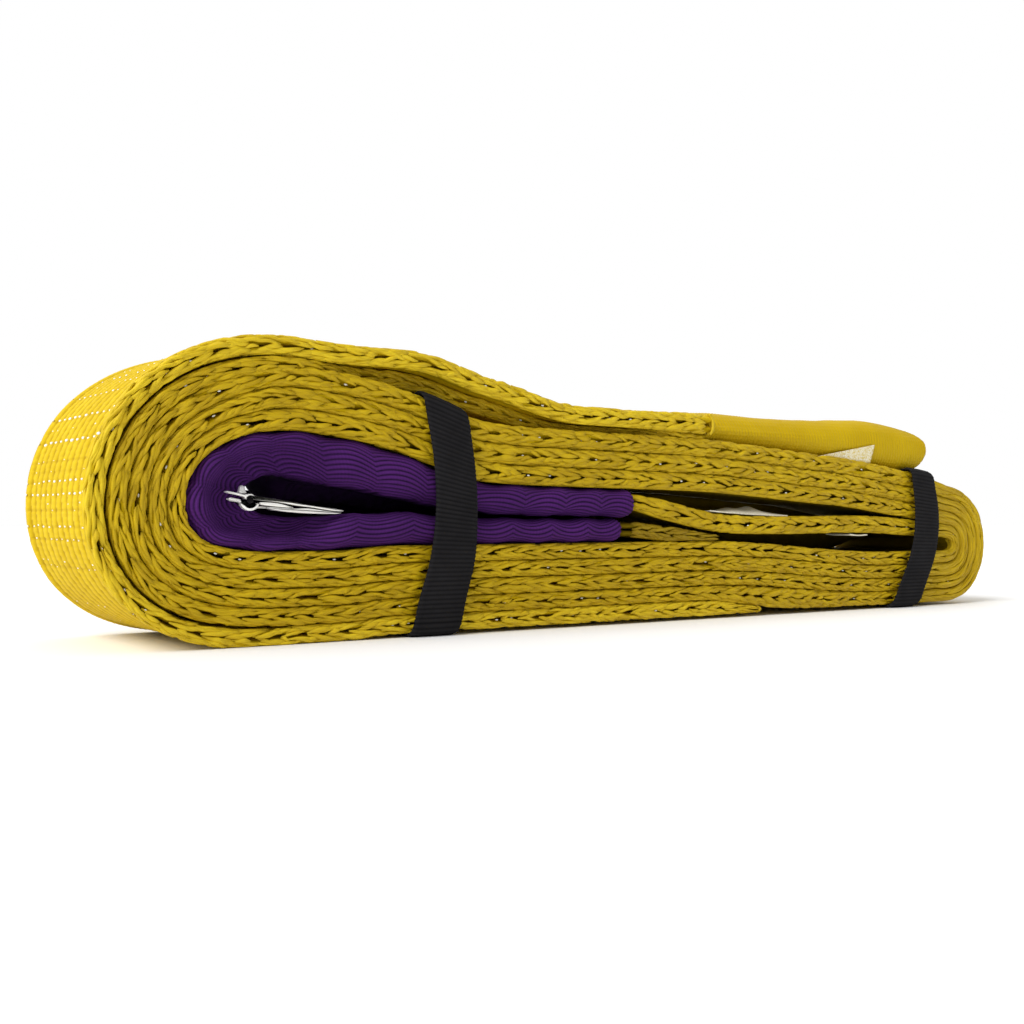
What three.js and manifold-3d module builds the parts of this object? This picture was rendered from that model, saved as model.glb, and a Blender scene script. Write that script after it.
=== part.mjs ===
// Flat web sling, rolled up flat for storage: a 90 mm two-ply web wound in a flat spiral,
// a fabric wear sleeve on the eye at its core, the other eye folded lengthwise on top,
// two elastic bands round the roll, woven labels and a small sprung steel clip.
// Millimetres, +X along the roll, +Y from the front selvedge to the back one, +Z up.
// The origin is at the middle of the roll's base.

import * as THREE from 'three';
import { mergeVertices } from 'three/addons/utils/BufferGeometryUtils.js';
import Module from 'manifold-3d';

const wasm = await Module();
wasm.setup();

const { clamp, smoothstep, degToRad } = THREE.MathUtils;

// ---------------------------------------------------------------- driving dimensions

const GAP = 0.3; // between pieces that touch
const WEB_WIDTH = 90;
const WEB_THICK = 7.2; // two plies and the seam between them
const PITCH = WEB_THICK + GAP; // from one turn of the roll to the next
const HALF_WIDTH = WEB_WIDTH / 2;

const BAND_THICK = 1.5;
const BAND_WIDTH = 25;
const ROLL_BASE = BAND_THICK + GAP; // the roll lies on its two bands
const RUN_STEP = 24; // spacing of the sections along a straight run

const RIGHT_TURN_X = 236; // centre of the turns at the right end
const LEFT_TURN_X = -190; // where the turns at the left end begin, low down
const LEFT_TOP_X = -183; // and where they end, on top
const LEFT_FAR_X = -230; // the inmost turn's furthest point
const LEFT_FAR_Z = 56;
const CORE_TOP_Z = 86.3; // the inmost turn's highest point
const TURNS_LEFT = 5; // turns at the left end, with the splice outermost
const LEFT_SAG = ROLL_BASE; // the left end hangs down to the ground past its band

const SPLICE_BOTTOM_X = 80; // the doubled length, from under the roll ...
const SPLICE_TOP_X = 40; // ... round the left end to its cut end on top
const LOOSE_LIFT = 8.7; // the top turns stand off where they cross the left band

const SLEEVE_WALL = 2;
const SLEEVE_OVERHANG = 2; // the sleeve is wider than the web by this at each edge
const SLEEVE_THICK = WEB_THICK + 2 * (SLEEVE_WALL + GAP);
const SLEEVE_UPPER_END_X = -9;
const SLEEVE_LOWER_END_X = -17;
const TAIL_END_X = 50; // sewn-down end of the inner eye's lower leg

const EYE_START_X = 44.3;
const EYE_END_X = 214;
const EYE_FRONT_Y = -41;
const EYE_BACK_Y = 8;
const EYE_HEIGHT = 25.5;
const EYE_END_ROUNDING = 4;

// ---------------------------------------------------------------- materials

const finish = (color, roughness, metalness = 0) =>
  new THREE.MeshStandardMaterial({ color, roughness, metalness });

const yellowWeb = finish(0xd0ae26, 0.85);
const purpleCloth = finish(0x48226a, 0.9);
const blackElastic = finish(0x29292a, 0.8);
const whiteCloth = finish(0xd8d2b8, 0.85);
const yellowThread = finish(0xb99a20, 0.8);
const blackThread = finish(0x1c1c1d, 0.8);
const brightSteel = finish(0xc9c7c2, 0.25, 1);

// ---------------------------------------------------------------- paths of the roll
// A station is { p, n, thick }: a point of a web's middle line in the X-Z plane, the unit
// normal to its left, which is outward all round the roll, and the web's thickness there.

const point = (x, z) => new THREE.Vector2(x, z);

function withNormals(points, thick = () => WEB_THICK) {
  return points.map((p, i) => {
    const before = points[Math.max(i - 1, 0)];
    const after = points[Math.min(i + 1, points.length - 1)];
    const along = after.clone().sub(before).normalize();
    return { p, n: point(-along.y, along.x), thick: thick(p, i) };
  });
}

const shifted = (station, distance) =>
  station.p.clone().addScaledVector(station.n, distance);

// Top of the inmost bottom run. To the right of the splice there is one turn fewer.
const bottomHeight = (x) =>
  ROLL_BASE + TURNS_LEFT * PITCH - GAP / 2
  - PITCH * smoothstep(x, 40, 180)
  - LEFT_SAG * smoothstep(-x, 140, 165);

const RIGHT_TURN_Z = bottomHeight(RIGHT_TURN_X) + PITCH / 2;

// Underside of the inmost top run.
const topRun = new THREE.SplineCurve([
  point(LEFT_TOP_X, CORE_TOP_Z),
  point(-160, 83.8),
  point(-137, 79.2),
  point(-105, 69.3),
  point(-85, 66.4),
  point(-39, 65.2),
  point(44, 63.8),
  point(111, 59.3),
  point(147, 56.8),
  point(197, 51),
  point(RIGHT_TURN_X, RIGHT_TURN_Z + 1.5 * PITCH),
]);
const topRunPoints = topRun.getPoints(22);

// The height at x of a line of points that runs along +X.
function heightOn(points, x) {
  const next = Math.max(1, points.findIndex((p) => p.x >= x));
  const a = points[next - 1];
  const b = points[next];
  return THREE.MathUtils.lerp(a.y, b.y, (x - a.x) / (b.x - a.x));
}

function runPoints(fromX, toX, height) {
  const steps = Math.round(Math.abs(toX - fromX) / RUN_STEP);
  const points = [];
  for (let i = 0; i <= steps; i += 1) {
    const x = THREE.MathUtils.lerp(fromX, toX, i / steps);
    points.push(point(x, height(x)));
  }
  return points;
}

const lowLeftZ = bottomHeight(LEFT_TURN_X);
const leftTurnPoints = [
  ...new THREE.CubicBezierCurve(
    point(LEFT_TURN_X, lowLeftZ),
    point(-222, lowLeftZ),
    point(LEFT_FAR_X, 43),
    point(LEFT_FAR_X, LEFT_FAR_Z),
  ).getPoints(7),
  ...new THREE.CubicBezierCurve(
    point(LEFT_FAR_X, LEFT_FAR_Z),
    point(LEFT_FAR_X, 75),
    point(-212, CORE_TOP_Z),
    point(LEFT_TOP_X, CORE_TOP_Z),
  ).getPoints(8).slice(1),
];

// The core's outline, from the right end along the bottom, round the left end and back.
const core = withNormals([
  ...runPoints(RIGHT_TURN_X, LEFT_TURN_X, bottomHeight),
  ...leftTurnPoints.slice(1),
  ...topRunPoints.slice(1),
]);

// The height at x of the top of so many turns on the core.
const topStations = core.filter(({ n }) => n.y > 0.5);
const topHeight = (x, turns = 0) =>
  heightOn(topStations.map((station) => shifted(station, turns * PITCH)), x);

const looseness = (x) => smoothstep(x, -170, -108) * (1 - smoothstep(x, -95, -40));

function lifted(p, turn) {
  const onTop = turn > 3 && p.y > CORE_TOP_Z && p.x > LEFT_TOP_X;
  const cutEndLift = turn > 4 && onTop ? 2.5 * smoothstep(p.x, 10, 42) : 0;
  return onTop ? point(p.x, p.y + LOOSE_LIFT * looseness(p.x) + cutEndLift) : p;
}

// Middle line of one turn of the roll: turn 1 lies on the core. It may be cut short, at
// bottomEnd under the roll and at topEnd on top.
const turnPoints = (turn, bottomEnd = Infinity, topEnd = Infinity) =>
  core
    .filter(({ p, n }) => p.x < (n.y < 0 ? bottomEnd : topEnd))
    .map((station) => lifted(shifted(station, (turn - 0.5) * PITCH), turn));

function rightTurnPoints(radius) {
  const arc = new THREE.EllipseCurve(
    RIGHT_TURN_X, RIGHT_TURN_Z, radius, radius, Math.PI / 2, -Math.PI / 2, true,
  );
  return arc.getPoints(radius > PITCH ? 12 : 8).slice(1, -1);
}

// ---------------------------------------------------------------- the inner eye's path

const EYE_OFFSET = -(GAP / 2 + SLEEVE_THICK / 2);
const inSleeve = (station) => shifted(station, EYE_OFFSET);

const lowerLegHeight = (x) => {
  const inside = bottomHeight(x) - EYE_OFFSET;
  const onTheRun = bottomHeight(x) + GAP / 2 + tailThickness(x) / 2;
  return THREE.MathUtils.lerp(inside, onTheRun, smoothstep(x, SLEEVE_LOWER_END_X + 9, 16));
};

function tailThickness(x) {
  return WEB_THICK - 4.2 * smoothstep(x, 14, TAIL_END_X);
}

const upperLeg = new THREE.SplineCurve([
  point(SLEEVE_UPPER_END_X + 4, topHeight(SLEEVE_UPPER_END_X) + EYE_OFFSET - 0.2),
  point(23, 52.8),
  point(54, 47.9),
  point(100, 46.9),
  point(160, 47.2),
  point(200, 45.2),
  point(RIGHT_TURN_X, RIGHT_TURN_Z + PITCH),
]);

const loopStations = core.filter(
  ({ p, n }) => p.x < SLEEVE_UPPER_END_X && (n.y > 0 || p.x < LEFT_TURN_X + 1),
);

const lowerLegPoints = runPoints(TAIL_END_X, LEFT_TURN_X + RUN_STEP, lowerLegHeight);
const innerEyePoints = [
  ...lowerLegPoints,
  ...loopStations.map(inSleeve),
  ...upperLeg.getPoints(12),
];

// ---------------------------------------------------------------- webs as solids

// A closed ribbon between two distances from the path, as fractions of its thickness,
// extruded across the web from the front edge to the back edge.
function ribbon(stations, from, to, front = -HALF_WIDTH, back = HALF_WIDTH, steps = 1) {
  const outer = stations.map((s) => shifted(s, to * s.thick));
  const inner = stations.map((s) => shifted(s, from * s.thick)).reverse();
  const outline = new THREE.Shape([...outer, ...inner]);
  const solid = new THREE.ExtrudeGeometry(outline, {
    depth: back - front,
    steps,
    bevelEnabled: false,
  });
  solid.rotateX(Math.PI / 2);
  solid.translate(0, back, 0);
  return solid;
}

const SEAM = GAP / 2 / WEB_THICK;
const outerPly = (stations) => ribbon(stations, SEAM, 0.5);
const innerPly = (stations) => ribbon(stations, -0.5, -SEAM);

// Moves every vertex of a geometry to the place that change(v) gives it.
function reshaped(geometry, change) {
  const places = geometry.attributes.position;
  const v = new THREE.Vector3();
  for (let i = 0; i < places.count; i += 1) {
    change(v.fromBufferAttribute(places, i));
    places.setXYZ(i, v.x, v.y, v.z);
  }
  geometry.computeVertexNormals();
  return geometry;
}

// The last top turn draws in from the front edge as it narrows towards the folded eye.
function narrowTowardsEye(geometry) {
  return reshaped(geometry, (v) => {
    const aboveThirdTurn = v.x > LEFT_TOP_X && v.z > topHeight(v.x, 3) - GAP;
    if (v.y < 0 && aboveThirdTurn) {
      v.y += 11 * smoothstep(v.x, LEFT_TOP_X, -140);
    }
  });
}

const webPath = withNormals(
  [
    ...innerEyePoints,
    ...[1, 2, 3].flatMap((turn) => [
      ...rightTurnPoints(turn * PITCH),
      ...turnPoints(turn),
    ]),
    ...rightTurnPoints(4 * PITCH),
    ...turnPoints(4, Infinity, SPLICE_TOP_X),
    point(EYE_START_X - 2, topHeight(EYE_START_X, 3.5)),
  ],
  (p, i) => (i < lowerLegPoints.length ? tailThickness(p.x) : WEB_THICK),
);

const splicePath = withNormals(turnPoints(5, SPLICE_BOTTOM_X + 1, SPLICE_TOP_X + 1));
const SPLICE_THIN_END = 3;
splicePath.forEach((station) => {
  if (station.p.y < ROLL_BASE + PITCH && station.p.x > 0) {
    const taper = smoothstep(station.p.x, 0, SPLICE_BOTTOM_X);
    station.thick = THREE.MathUtils.lerp(WEB_THICK, SPLICE_THIN_END, taper);
    station.p.y = ROLL_BASE + station.thick / 2;
    station.n.set(0, -1);
  }
});

// ---------------------------------------------------------------- wear sleeve

const sleeveStations = withNormals(
  [
    ...runPoints(SLEEVE_LOWER_END_X, LEFT_TURN_X + RUN_STEP, bottomHeight)
      .map((p) => point(p.x, p.y - EYE_OFFSET)),
    ...loopStations.map(inSleeve),
    point(SLEEVE_UPPER_END_X, topHeight(SLEEVE_UPPER_END_X) + EYE_OFFSET),
  ],
  () => SLEEVE_THICK,
);

const boreStations = withNormals(
  [
    point(SLEEVE_LOWER_END_X + 5, sleeveStations[0].p.y),
    ...sleeveStations.map((station) => station.p),
    point(SLEEVE_UPPER_END_X + 5, sleeveStations.at(-1).p.y),
  ],
  () => WEB_THICK + 2 * GAP,
);

function toManifold(geometry) {
  const bare = geometry.clone();
  bare.deleteAttribute('normal');
  bare.deleteAttribute('uv');
  const merged = mergeVertices(bare, 1e-4);
  return new wasm.Manifold(new wasm.Mesh({
    numProp: 3,
    vertProperties: new Float32Array(merged.attributes.position.array),
    triVerts: new Uint32Array(merged.index.array),
  }));
}

function fromManifold(manifold) {
  const mesh = manifold.getMesh();
  const geometry = new THREE.BufferGeometry();
  geometry.setAttribute('position', new THREE.BufferAttribute(mesh.vertProperties, 3));
  geometry.setIndex(new THREE.BufferAttribute(mesh.triVerts, 1));
  geometry.computeVertexNormals();
  return geometry;
}

function sleeveGeometry() {
  const reach = HALF_WIDTH + GAP;
  const skin = ribbon(
    sleeveStations, -0.5, 0.5, -HALF_WIDTH - SLEEVE_OVERHANG, HALF_WIDTH + SLEEVE_OVERHANG,
  );
  const bore = ribbon(boreStations, -0.5, 0.5, -reach, reach);
  return fromManifold(toManifold(skin).subtract(toManifold(bore)));
}

// ---------------------------------------------------------------- outer eye

// Section of the folded eye across the roll, as a C that opens to the back.
function eyeSection(from, to) {
  const radius = EYE_HEIGHT / 2;
  const centreY = EYE_FRONT_Y + radius;
  const outside = radius - from;
  const inside = radius - to;
  const section = new THREE.Shape();
  section.moveTo(EYE_BACK_Y, radius - outside);
  section.lineTo(centreY, radius - outside);
  section.absarc(centreY, radius, outside, -Math.PI / 2, Math.PI / 2, true);
  section.lineTo(EYE_BACK_Y, radius + outside);
  section.lineTo(EYE_BACK_Y, radius + inside);
  section.lineTo(centreY, radius + inside);
  section.absarc(centreY, radius, inside, Math.PI / 2, -Math.PI / 2, false);
  section.lineTo(EYE_BACK_Y, radius - inside);
  section.closePath();
  return section;
}

// The eye lies on the third turn, clear of the right band, and opens up along its length.
function eyeLeg(from, to) {
  const solid = new THREE.ExtrudeGeometry(eyeSection(from, to), {
    depth: EYE_END_X - EYE_START_X,
    steps: 9,
    curveSegments: 7,
    bevelEnabled: false,
  });
  const flatHeight = 2 * WEB_THICK + GAP;
  return reshaped(solid, (v) => {
    const x = EYE_START_X + v.z;
    const y = v.x;
    const height = v.y;
    const slack = (EYE_HEIGHT - flatHeight) * (1 - smoothstep(x, EYE_START_X, 140));
    const share = clamp((height - WEB_THICK) / (EYE_HEIGHT - 2 * WEB_THICK), 0, 1);
    const rounding = EYE_END_ROUNDING * smoothstep(x, 185, EYE_END_X) * (1 - 2 * share);
    const overBand = (BAND_THICK + GAP) * smoothstep(x, 165, 190);
    const base = topHeight(x, 3) + GAP / 2 + overBand;
    v.set(x, y, base + height - slack * share + rounding);
  });
}

// ---------------------------------------------------------------- labels and stitching

function plate(outlinePoints, y, depth) {
  const solid = new THREE.ExtrudeGeometry(new THREE.Shape(outlinePoints), {
    depth,
    bevelEnabled: false,
  });
  solid.rotateX(Math.PI / 2);
  solid.translate(0, y + depth, 0);
  return solid;
}

const LABEL_THICK = 0.8;

function sheetAlong(points, thick, front, back) {
  const stations = withNormals(points, () => thick);
  return ribbon(stations, -0.5, 0.5, front, back);
}

// The label on the outer eye's flank.
const eyeLabelGeometry = () => plate(
  [point(124, 83.3), point(167, 90), point(164, 81.2), point(140, 82.2)],
  EYE_FRONT_Y - GAP - LABEL_THICK,
  LABEL_THICK,
);

// The label sewn to the upper leg of the inner eye, curled up off it.
const legLabelGeometry = () => sheetAlong(
  [point(42, 57.6), point(60, 55.4), point(80, 53.2), point(98, 52)],
  LABEL_THICK, -44, -14,
);

const labelTailGeometry = () => sheetAlong(
  [point(148, 41.6), point(155, 40.9), point(163, 41.2)],
  LABEL_THICK, -44, -26,
);

// The sewn square that closes the splice on top, as a low pad of thread.
const SPLICE_SEAM = { from: -28, to: 32, thick: 0.8, reach: 36 };

function spliceSeamGeometry() {
  const spliceTop = splicePath
    .filter(({ p }) => p.y > CORE_TOP_Z)
    .map((station) => shifted(station, station.thick / 2));
  const onSplice = (x) => heightOn(spliceTop, x) + GAP + SPLICE_SEAM.thick / 2;
  return sheetAlong(
    runPoints(SPLICE_SEAM.from, SPLICE_SEAM.to, onSplice),
    SPLICE_SEAM.thick, -SPLICE_SEAM.reach, SPLICE_SEAM.reach,
  );
}

// ---------------------------------------------------------------- elastic bands

const BAND_REACH = HALF_WIDTH + SLEEVE_OVERHANG + GAP; // to the band's inner face
const OVERLAP = { low: 18, high: 48 };

// A ring in the Y-Z plane round the roll, with its sewn overlap on the back.
function bandRing(height) {
  const y = BAND_REACH + BAND_THICK;
  const ring = new THREE.Shape([
    point(-y, 0),
    point(y, 0),
    point(y, OVERLAP.low),
    point(y + BAND_THICK, OVERLAP.low + 3),
    point(y + BAND_THICK, OVERLAP.high),
    point(y, OVERLAP.high),
    point(y, height),
    point(-y, height),
  ]);
  ring.holes.push(new THREE.Path([
    point(-BAND_REACH, BAND_THICK),
    point(-BAND_REACH, height - BAND_THICK),
    point(BAND_REACH, height - BAND_THICK),
    point(BAND_REACH, BAND_THICK),
  ]));
  return ring;
}

// The band's top follows the slope of the roll, and its foot leans by lean mm.
function bandGeometry(middleX, lean) {
  const height = 80;
  const solid = new THREE.ExtrudeGeometry(bandRing(height), {
    depth: BAND_WIDTH,
    steps: 4,
    bevelEnabled: false,
  });
  return reshaped(solid, (v) => {
    const x = middleX - BAND_WIDTH / 2 + v.z;
    const y = v.x;
    const roof = topHeight(x, 3) + GAP / 2 + BAND_THICK;
    const share = clamp((v.y - BAND_THICK) / (height - 2 * BAND_THICK), 0, 1);
    const z = v.y + (roof - height) * share;
    v.set(x + lean * (1 - smoothstep(z, 0, 40)), y, z);
  });
}

const bartackGeometry = (middleX) => {
  const y = BAND_REACH + 2 * BAND_THICK + GAP;
  const tack = new THREE.BoxGeometry(BAND_WIDTH - 6, 0.6, 16);
  tack.translate(middleX, y + 0.3, (OVERLAP.low + OVERLAP.high) / 2 + 3);
  return tack;
};

// ---------------------------------------------------------------- steel clip

const CLIP = { x: -203.5, z: 57.8, front: -43.5, width: 7 };
const PIN_RADIUS = 1.1;
const KNUCKLE_RADIUS = 2.6;
const HOOK_RADIUS = 4.4;
const JAW_LENGTH = 42;
const JAW_DROOP = degToRad(-6.5);

// Outline in the clip's own plane: the pin is at the origin and the jaws run along +x.
function knuckle(outline, from, to, clockwise = false) {
  outline.absarc(0, 0, KNUCKLE_RADIUS, degToRad(from), degToRad(to), clockwise);
  const hole = new THREE.Path();
  hole.absarc(0, 0, PIN_RADIUS + 0.1, 0, 2 * Math.PI, !clockwise);
  outline.holes.push(hole);
  return outline;
}

function clipPiece(outline, front, width) {
  const solid = new THREE.ExtrudeGeometry(outline, {
    depth: width,
    curveSegments: 10,
    bevelEnabled: false,
  });
  solid.rotateX(Math.PI / 2);
  solid.translate(0, front + width, 0);
  solid.rotateY(-JAW_DROOP);
  solid.translate(CLIP.x, 0, CLIP.z);
  return solid;
}

// The upper jaw turns on the pin, with its short prong behind the pin.
function upperJaw() {
  const jaw = new THREE.Shape();
  jaw.moveTo(JAW_LENGTH, 0.35);
  jaw.lineTo(JAW_LENGTH - 1, 1.1);
  jaw.lineTo(3.5, 2);
  knuckle(jaw, 50, 160);
  jaw.lineTo(-8.5, 1.3);
  jaw.lineTo(-8.5, 0.5);
  jaw.absarc(0, 0, KNUCKLE_RADIUS, degToRad(170), degToRad(370), false);
  return clipPiece(jaw, CLIP.front, CLIP.width / 2 - GAP / 2);
}

// The lower jaw, with the hook under the pin, stays where the clip lies.
function lowerJaw() {
  const jaw = new THREE.Shape();
  jaw.moveTo(JAW_LENGTH, 0);
  jaw.lineTo(JAW_LENGTH - 3, -1.5);
  jaw.lineTo(8, -3);
  jaw.absarc(0, 0, HOOK_RADIUS, degToRad(-35), degToRad(-140), true);
  jaw.lineTo(-7.6, -1.8);
  jaw.lineTo(-7.6, -1);
  knuckle(jaw, 200, 2, true);
  return clipPiece(jaw, CLIP.front + CLIP.width / 2 + GAP / 2, CLIP.width / 2 - GAP / 2);
}

function clipPin() {
  const headRadius = 1.9;
  const half = CLIP.width / 2 + GAP;
  const profile = [
    point(0, -half - 0.9),
    point(headRadius, -half - 0.9),
    point(headRadius, -half),
    point(PIN_RADIUS, -half),
    point(PIN_RADIUS, half),
    point(headRadius, half),
    point(headRadius, half + 0.9),
    point(0, half + 0.9),
  ];
  const pin = new THREE.LatheGeometry(profile, 20);
  pin.translate(CLIP.x, CLIP.front + CLIP.width / 2, CLIP.z);
  return pin;
}

// A leaf spring strip that lies between the jaws.
function clipLeaf() {
  const leaf = new THREE.Shape([
    point(5.5, -1.7), point(22, -0.6), point(22, -0.1), point(5.5, -0.7),
  ]);
  return clipPiece(leaf, CLIP.front + GAP, CLIP.width / 2 - 3 * GAP);
}

// The thumb knob stands on the lower jaw's knuckle.
function clipKnob() {
  const knob = new THREE.LatheGeometry([
    point(0, 0),
    point(1.5, 0),
    point(1.1, 1.6),
    point(1.5, 2.6),
    point(1.1, 3.6),
    point(0, 3.9),
  ], 14);
  knob.rotateX(Math.PI / 2);
  knob.translate(CLIP.x, CLIP.front + 0.75 * CLIP.width, CLIP.z + KNUCKLE_RADIUS + GAP);
  return knob;
}

// ---------------------------------------------------------------- assembly

const LEFT_BAND_X = -112;
const RIGHT_BAND_X = 210.5;

const sling = new THREE.Group();

function add(name, geometry, material) {
  const mesh = new THREE.Mesh(geometry, material);
  mesh.name = name;
  sling.add(mesh);
}

add('web_outer_ply', narrowTowardsEye(outerPly(webPath)), yellowWeb);
add('web_inner_ply', narrowTowardsEye(innerPly(webPath)), yellowWeb);
add('splice_outer_ply', outerPly(splicePath), yellowWeb);
add('splice_inner_ply', innerPly(splicePath), yellowWeb);
add('splice_seam', spliceSeamGeometry(), yellowThread);
add('wear_sleeve', sleeveGeometry(), purpleCloth);
add('outer_eye_cover_ply', eyeLeg(0, WEB_THICK / 2 - GAP / 2), yellowWeb);
add('outer_eye_lining_ply', eyeLeg(WEB_THICK / 2 + GAP, WEB_THICK), yellowWeb);
add('eye_label', eyeLabelGeometry(), whiteCloth);
add('leg_label', legLabelGeometry(), whiteCloth);
add('label_tail', labelTailGeometry(), whiteCloth);
add('left_band', bandGeometry(LEFT_BAND_X, -8), blackElastic);
add('left_band_bartack', bartackGeometry(LEFT_BAND_X), blackThread);
add('right_band', bandGeometry(RIGHT_BAND_X, -13), blackElastic);
add('right_band_bartack', bartackGeometry(RIGHT_BAND_X), blackThread);
add('clip_upper_jaw', upperJaw(), brightSteel);
add('clip_lower_jaw', lowerJaw(), brightSteel);
add('clip_pin', clipPin(), brightSteel);
add('clip_leaf_spring', clipLeaf(), brightSteel);
add('clip_knob', clipKnob(), brightSteel);

// The origin is under the middle of the whole object.
const middle = new THREE.Box3().setFromObject(sling).getCenter(new THREE.Vector3());
sling.position.set(-middle.x, -middle.y, 0);

export default sling;
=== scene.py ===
"""Looks of the rolled flat web sling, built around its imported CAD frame.

Lengths are in millimetres up to new_piece(), which turns them into metres of the row
frame. Webs, sleeve and bands are meshes swept along the same lines as the CAD part.
"""

import math

import bmesh
import bpy
import numpy as np
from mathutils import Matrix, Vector


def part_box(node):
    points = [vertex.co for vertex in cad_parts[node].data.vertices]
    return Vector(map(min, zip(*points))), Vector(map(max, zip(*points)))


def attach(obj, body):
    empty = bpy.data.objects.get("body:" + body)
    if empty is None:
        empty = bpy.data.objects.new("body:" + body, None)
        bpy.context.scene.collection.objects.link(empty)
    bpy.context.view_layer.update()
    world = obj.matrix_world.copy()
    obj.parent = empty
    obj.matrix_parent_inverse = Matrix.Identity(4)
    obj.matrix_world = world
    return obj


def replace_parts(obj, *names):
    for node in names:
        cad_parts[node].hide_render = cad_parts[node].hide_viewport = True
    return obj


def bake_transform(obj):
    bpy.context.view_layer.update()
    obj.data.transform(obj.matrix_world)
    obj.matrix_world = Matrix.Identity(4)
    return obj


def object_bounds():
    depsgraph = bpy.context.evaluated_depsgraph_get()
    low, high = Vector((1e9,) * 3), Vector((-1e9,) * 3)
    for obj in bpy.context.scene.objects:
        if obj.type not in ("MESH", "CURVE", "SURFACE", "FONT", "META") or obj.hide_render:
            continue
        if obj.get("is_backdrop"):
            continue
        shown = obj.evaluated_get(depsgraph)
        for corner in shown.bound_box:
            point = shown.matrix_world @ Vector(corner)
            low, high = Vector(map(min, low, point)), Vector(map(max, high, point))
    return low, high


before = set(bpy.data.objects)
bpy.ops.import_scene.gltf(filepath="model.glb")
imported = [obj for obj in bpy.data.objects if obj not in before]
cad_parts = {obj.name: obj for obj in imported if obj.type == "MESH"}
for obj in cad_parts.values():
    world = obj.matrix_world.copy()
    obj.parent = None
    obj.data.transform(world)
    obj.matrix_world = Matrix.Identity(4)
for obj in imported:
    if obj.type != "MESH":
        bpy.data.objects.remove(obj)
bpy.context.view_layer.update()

# ---- dimensions
GAP = 0.3
WEB_WIDTH = 90.0
WEB_THICK = 7.2
PITCH = WEB_THICK + GAP
HALF = WEB_WIDTH / 2
PLY_HALF = HALF * 0.972  # the plies end just inside the plaited edges
BAND_THICK = 1.5
BAND_WIDTH = 25.0
ROLL_BASE = BAND_THICK + GAP
TURNS_LEFT = 5
RIGHT_X = 236.0
LEFT_X = -190.0
LEFT_TOP_X = -183.0
CORE_TOP_Z = 86.3
LOOSE_LIFT, LOOSE_BACK_LIFT = 8.7, 3.2
LEG_ROOM = 3.5  # left between the crown of the eye's upper leg and the layer above
SLEEVE_THICK = WEB_THICK + 2 * (2 + GAP)
SLEEVE_UPPER_X, SLEEVE_LOWER_X = -9.0, -17.0
TAIL_X = 50.0
SPLICE_TOP_X, SPLICE_BOTTOM_X = 44.5, 81.0
EYE_X0, EYE_X1 = 44.8, 214.0
EYE_LOOP_X = 175.0  # from here on the folded web ends in a slanted loop
EYE_Y0, EYE_Y1 = -41.0, 8.0
EYE_HEIGHT = 25.5
EYE_PLY = 3.45
CLIP_X, CLIP_Z, CLIP_FRONT = -203.5, 57.8, -43.5

# Where the row frame's origin lies in the lengths above, from two pieces that it places.
pin_lo, pin_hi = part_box("clip_pin")
sleeve_lo, sleeve_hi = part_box("wear_sleeve")
MIDDLE = np.array([
    CLIP_X - 500 * (pin_lo.x + pin_hi.x),
    -500 * (sleeve_lo.y + sleeve_hi.y),
    0.0,
])


def smoothstep(x, a, b):
    t = np.clip((np.asarray(x, float) - a) / (b - a), 0, 1)
    return t * t * (3 - 2 * t)


def lerp(a, b, t):
    return a + (b - a) * t


def through(points, x):
    """Smooth curve through (x, value) points, for x in between."""
    xs, ys = np.array(points, float).T
    slope = np.gradient(ys, xs)
    i = np.clip(np.searchsorted(xs, x) - 1, 0, len(xs) - 2)
    h = xs[i + 1] - xs[i]
    t = np.clip((x - xs[i]) / h, 0, 1)
    return (
        (2 * t**3 - 3 * t**2 + 1) * ys[i] + (t**3 - 2 * t**2 + t) * h * slope[i]
        + (3 * t**2 - 2 * t**3) * ys[i + 1] + (t**3 - t**2) * h * slope[i + 1]
    )


# ---- lines of the roll
def bottom_height(x):
    return (
        ROLL_BASE + TURNS_LEFT * PITCH - GAP / 2
        - PITCH * smoothstep(x, 40, 180)
        - ROLL_BASE * smoothstep(-np.asarray(x, float), 140, 165)
    )


RIGHT_Z = float(bottom_height(RIGHT_X)) + PITCH / 2


def spline(points, per_span=40):
    """Uniform Catmull-Rom curve through the points."""
    p = np.array(points, float)
    out = []
    for i in range(len(p) - 1):
        p0, p1, p2, p3 = p[max(i - 1, 0)], p[i], p[i + 1], p[min(i + 2, len(p) - 1)]
        t = np.linspace(0, 1, per_span, endpoint=False)[:, None]
        v0, v1 = (p2 - p0) / 2, (p3 - p1) / 2
        out.append(
            (2 * p1 - 2 * p2 + v0 + v1) * t**3
            + (-3 * p1 + 3 * p2 - 2 * v0 - v1) * t**2 + v0 * t + p1
        )
    return np.vstack(out + [p[-1:]])


def bezier(a, b, c, d, n=60):
    a, b, c, d = (np.array(q, float) for q in (a, b, c, d))
    t = np.linspace(0, 1, n)[:, None]
    return a * (1 - t)**3 + 3 * b * t * (1 - t)**2 + 3 * c * t**2 * (1 - t) + d * t**3


def unit(vectors):
    return vectors / np.linalg.norm(vectors, axis=-1, keepdims=True)


def outward(points):
    along = unit(np.gradient(points, axis=0))
    return np.column_stack([-along[:, 1], along[:, 0]])


def loop_normals(points):
    """Unit normals of a closed outline, to the left of its direction."""
    along = unit(np.roll(points, -1, 0) - np.roll(points, 1, 0))
    return np.column_stack([-along[:, 1], along[:, 0]])


def grid_normals(grid):
    return unit(np.cross(np.gradient(grid, axis=0), np.gradient(grid, axis=1)))


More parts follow.
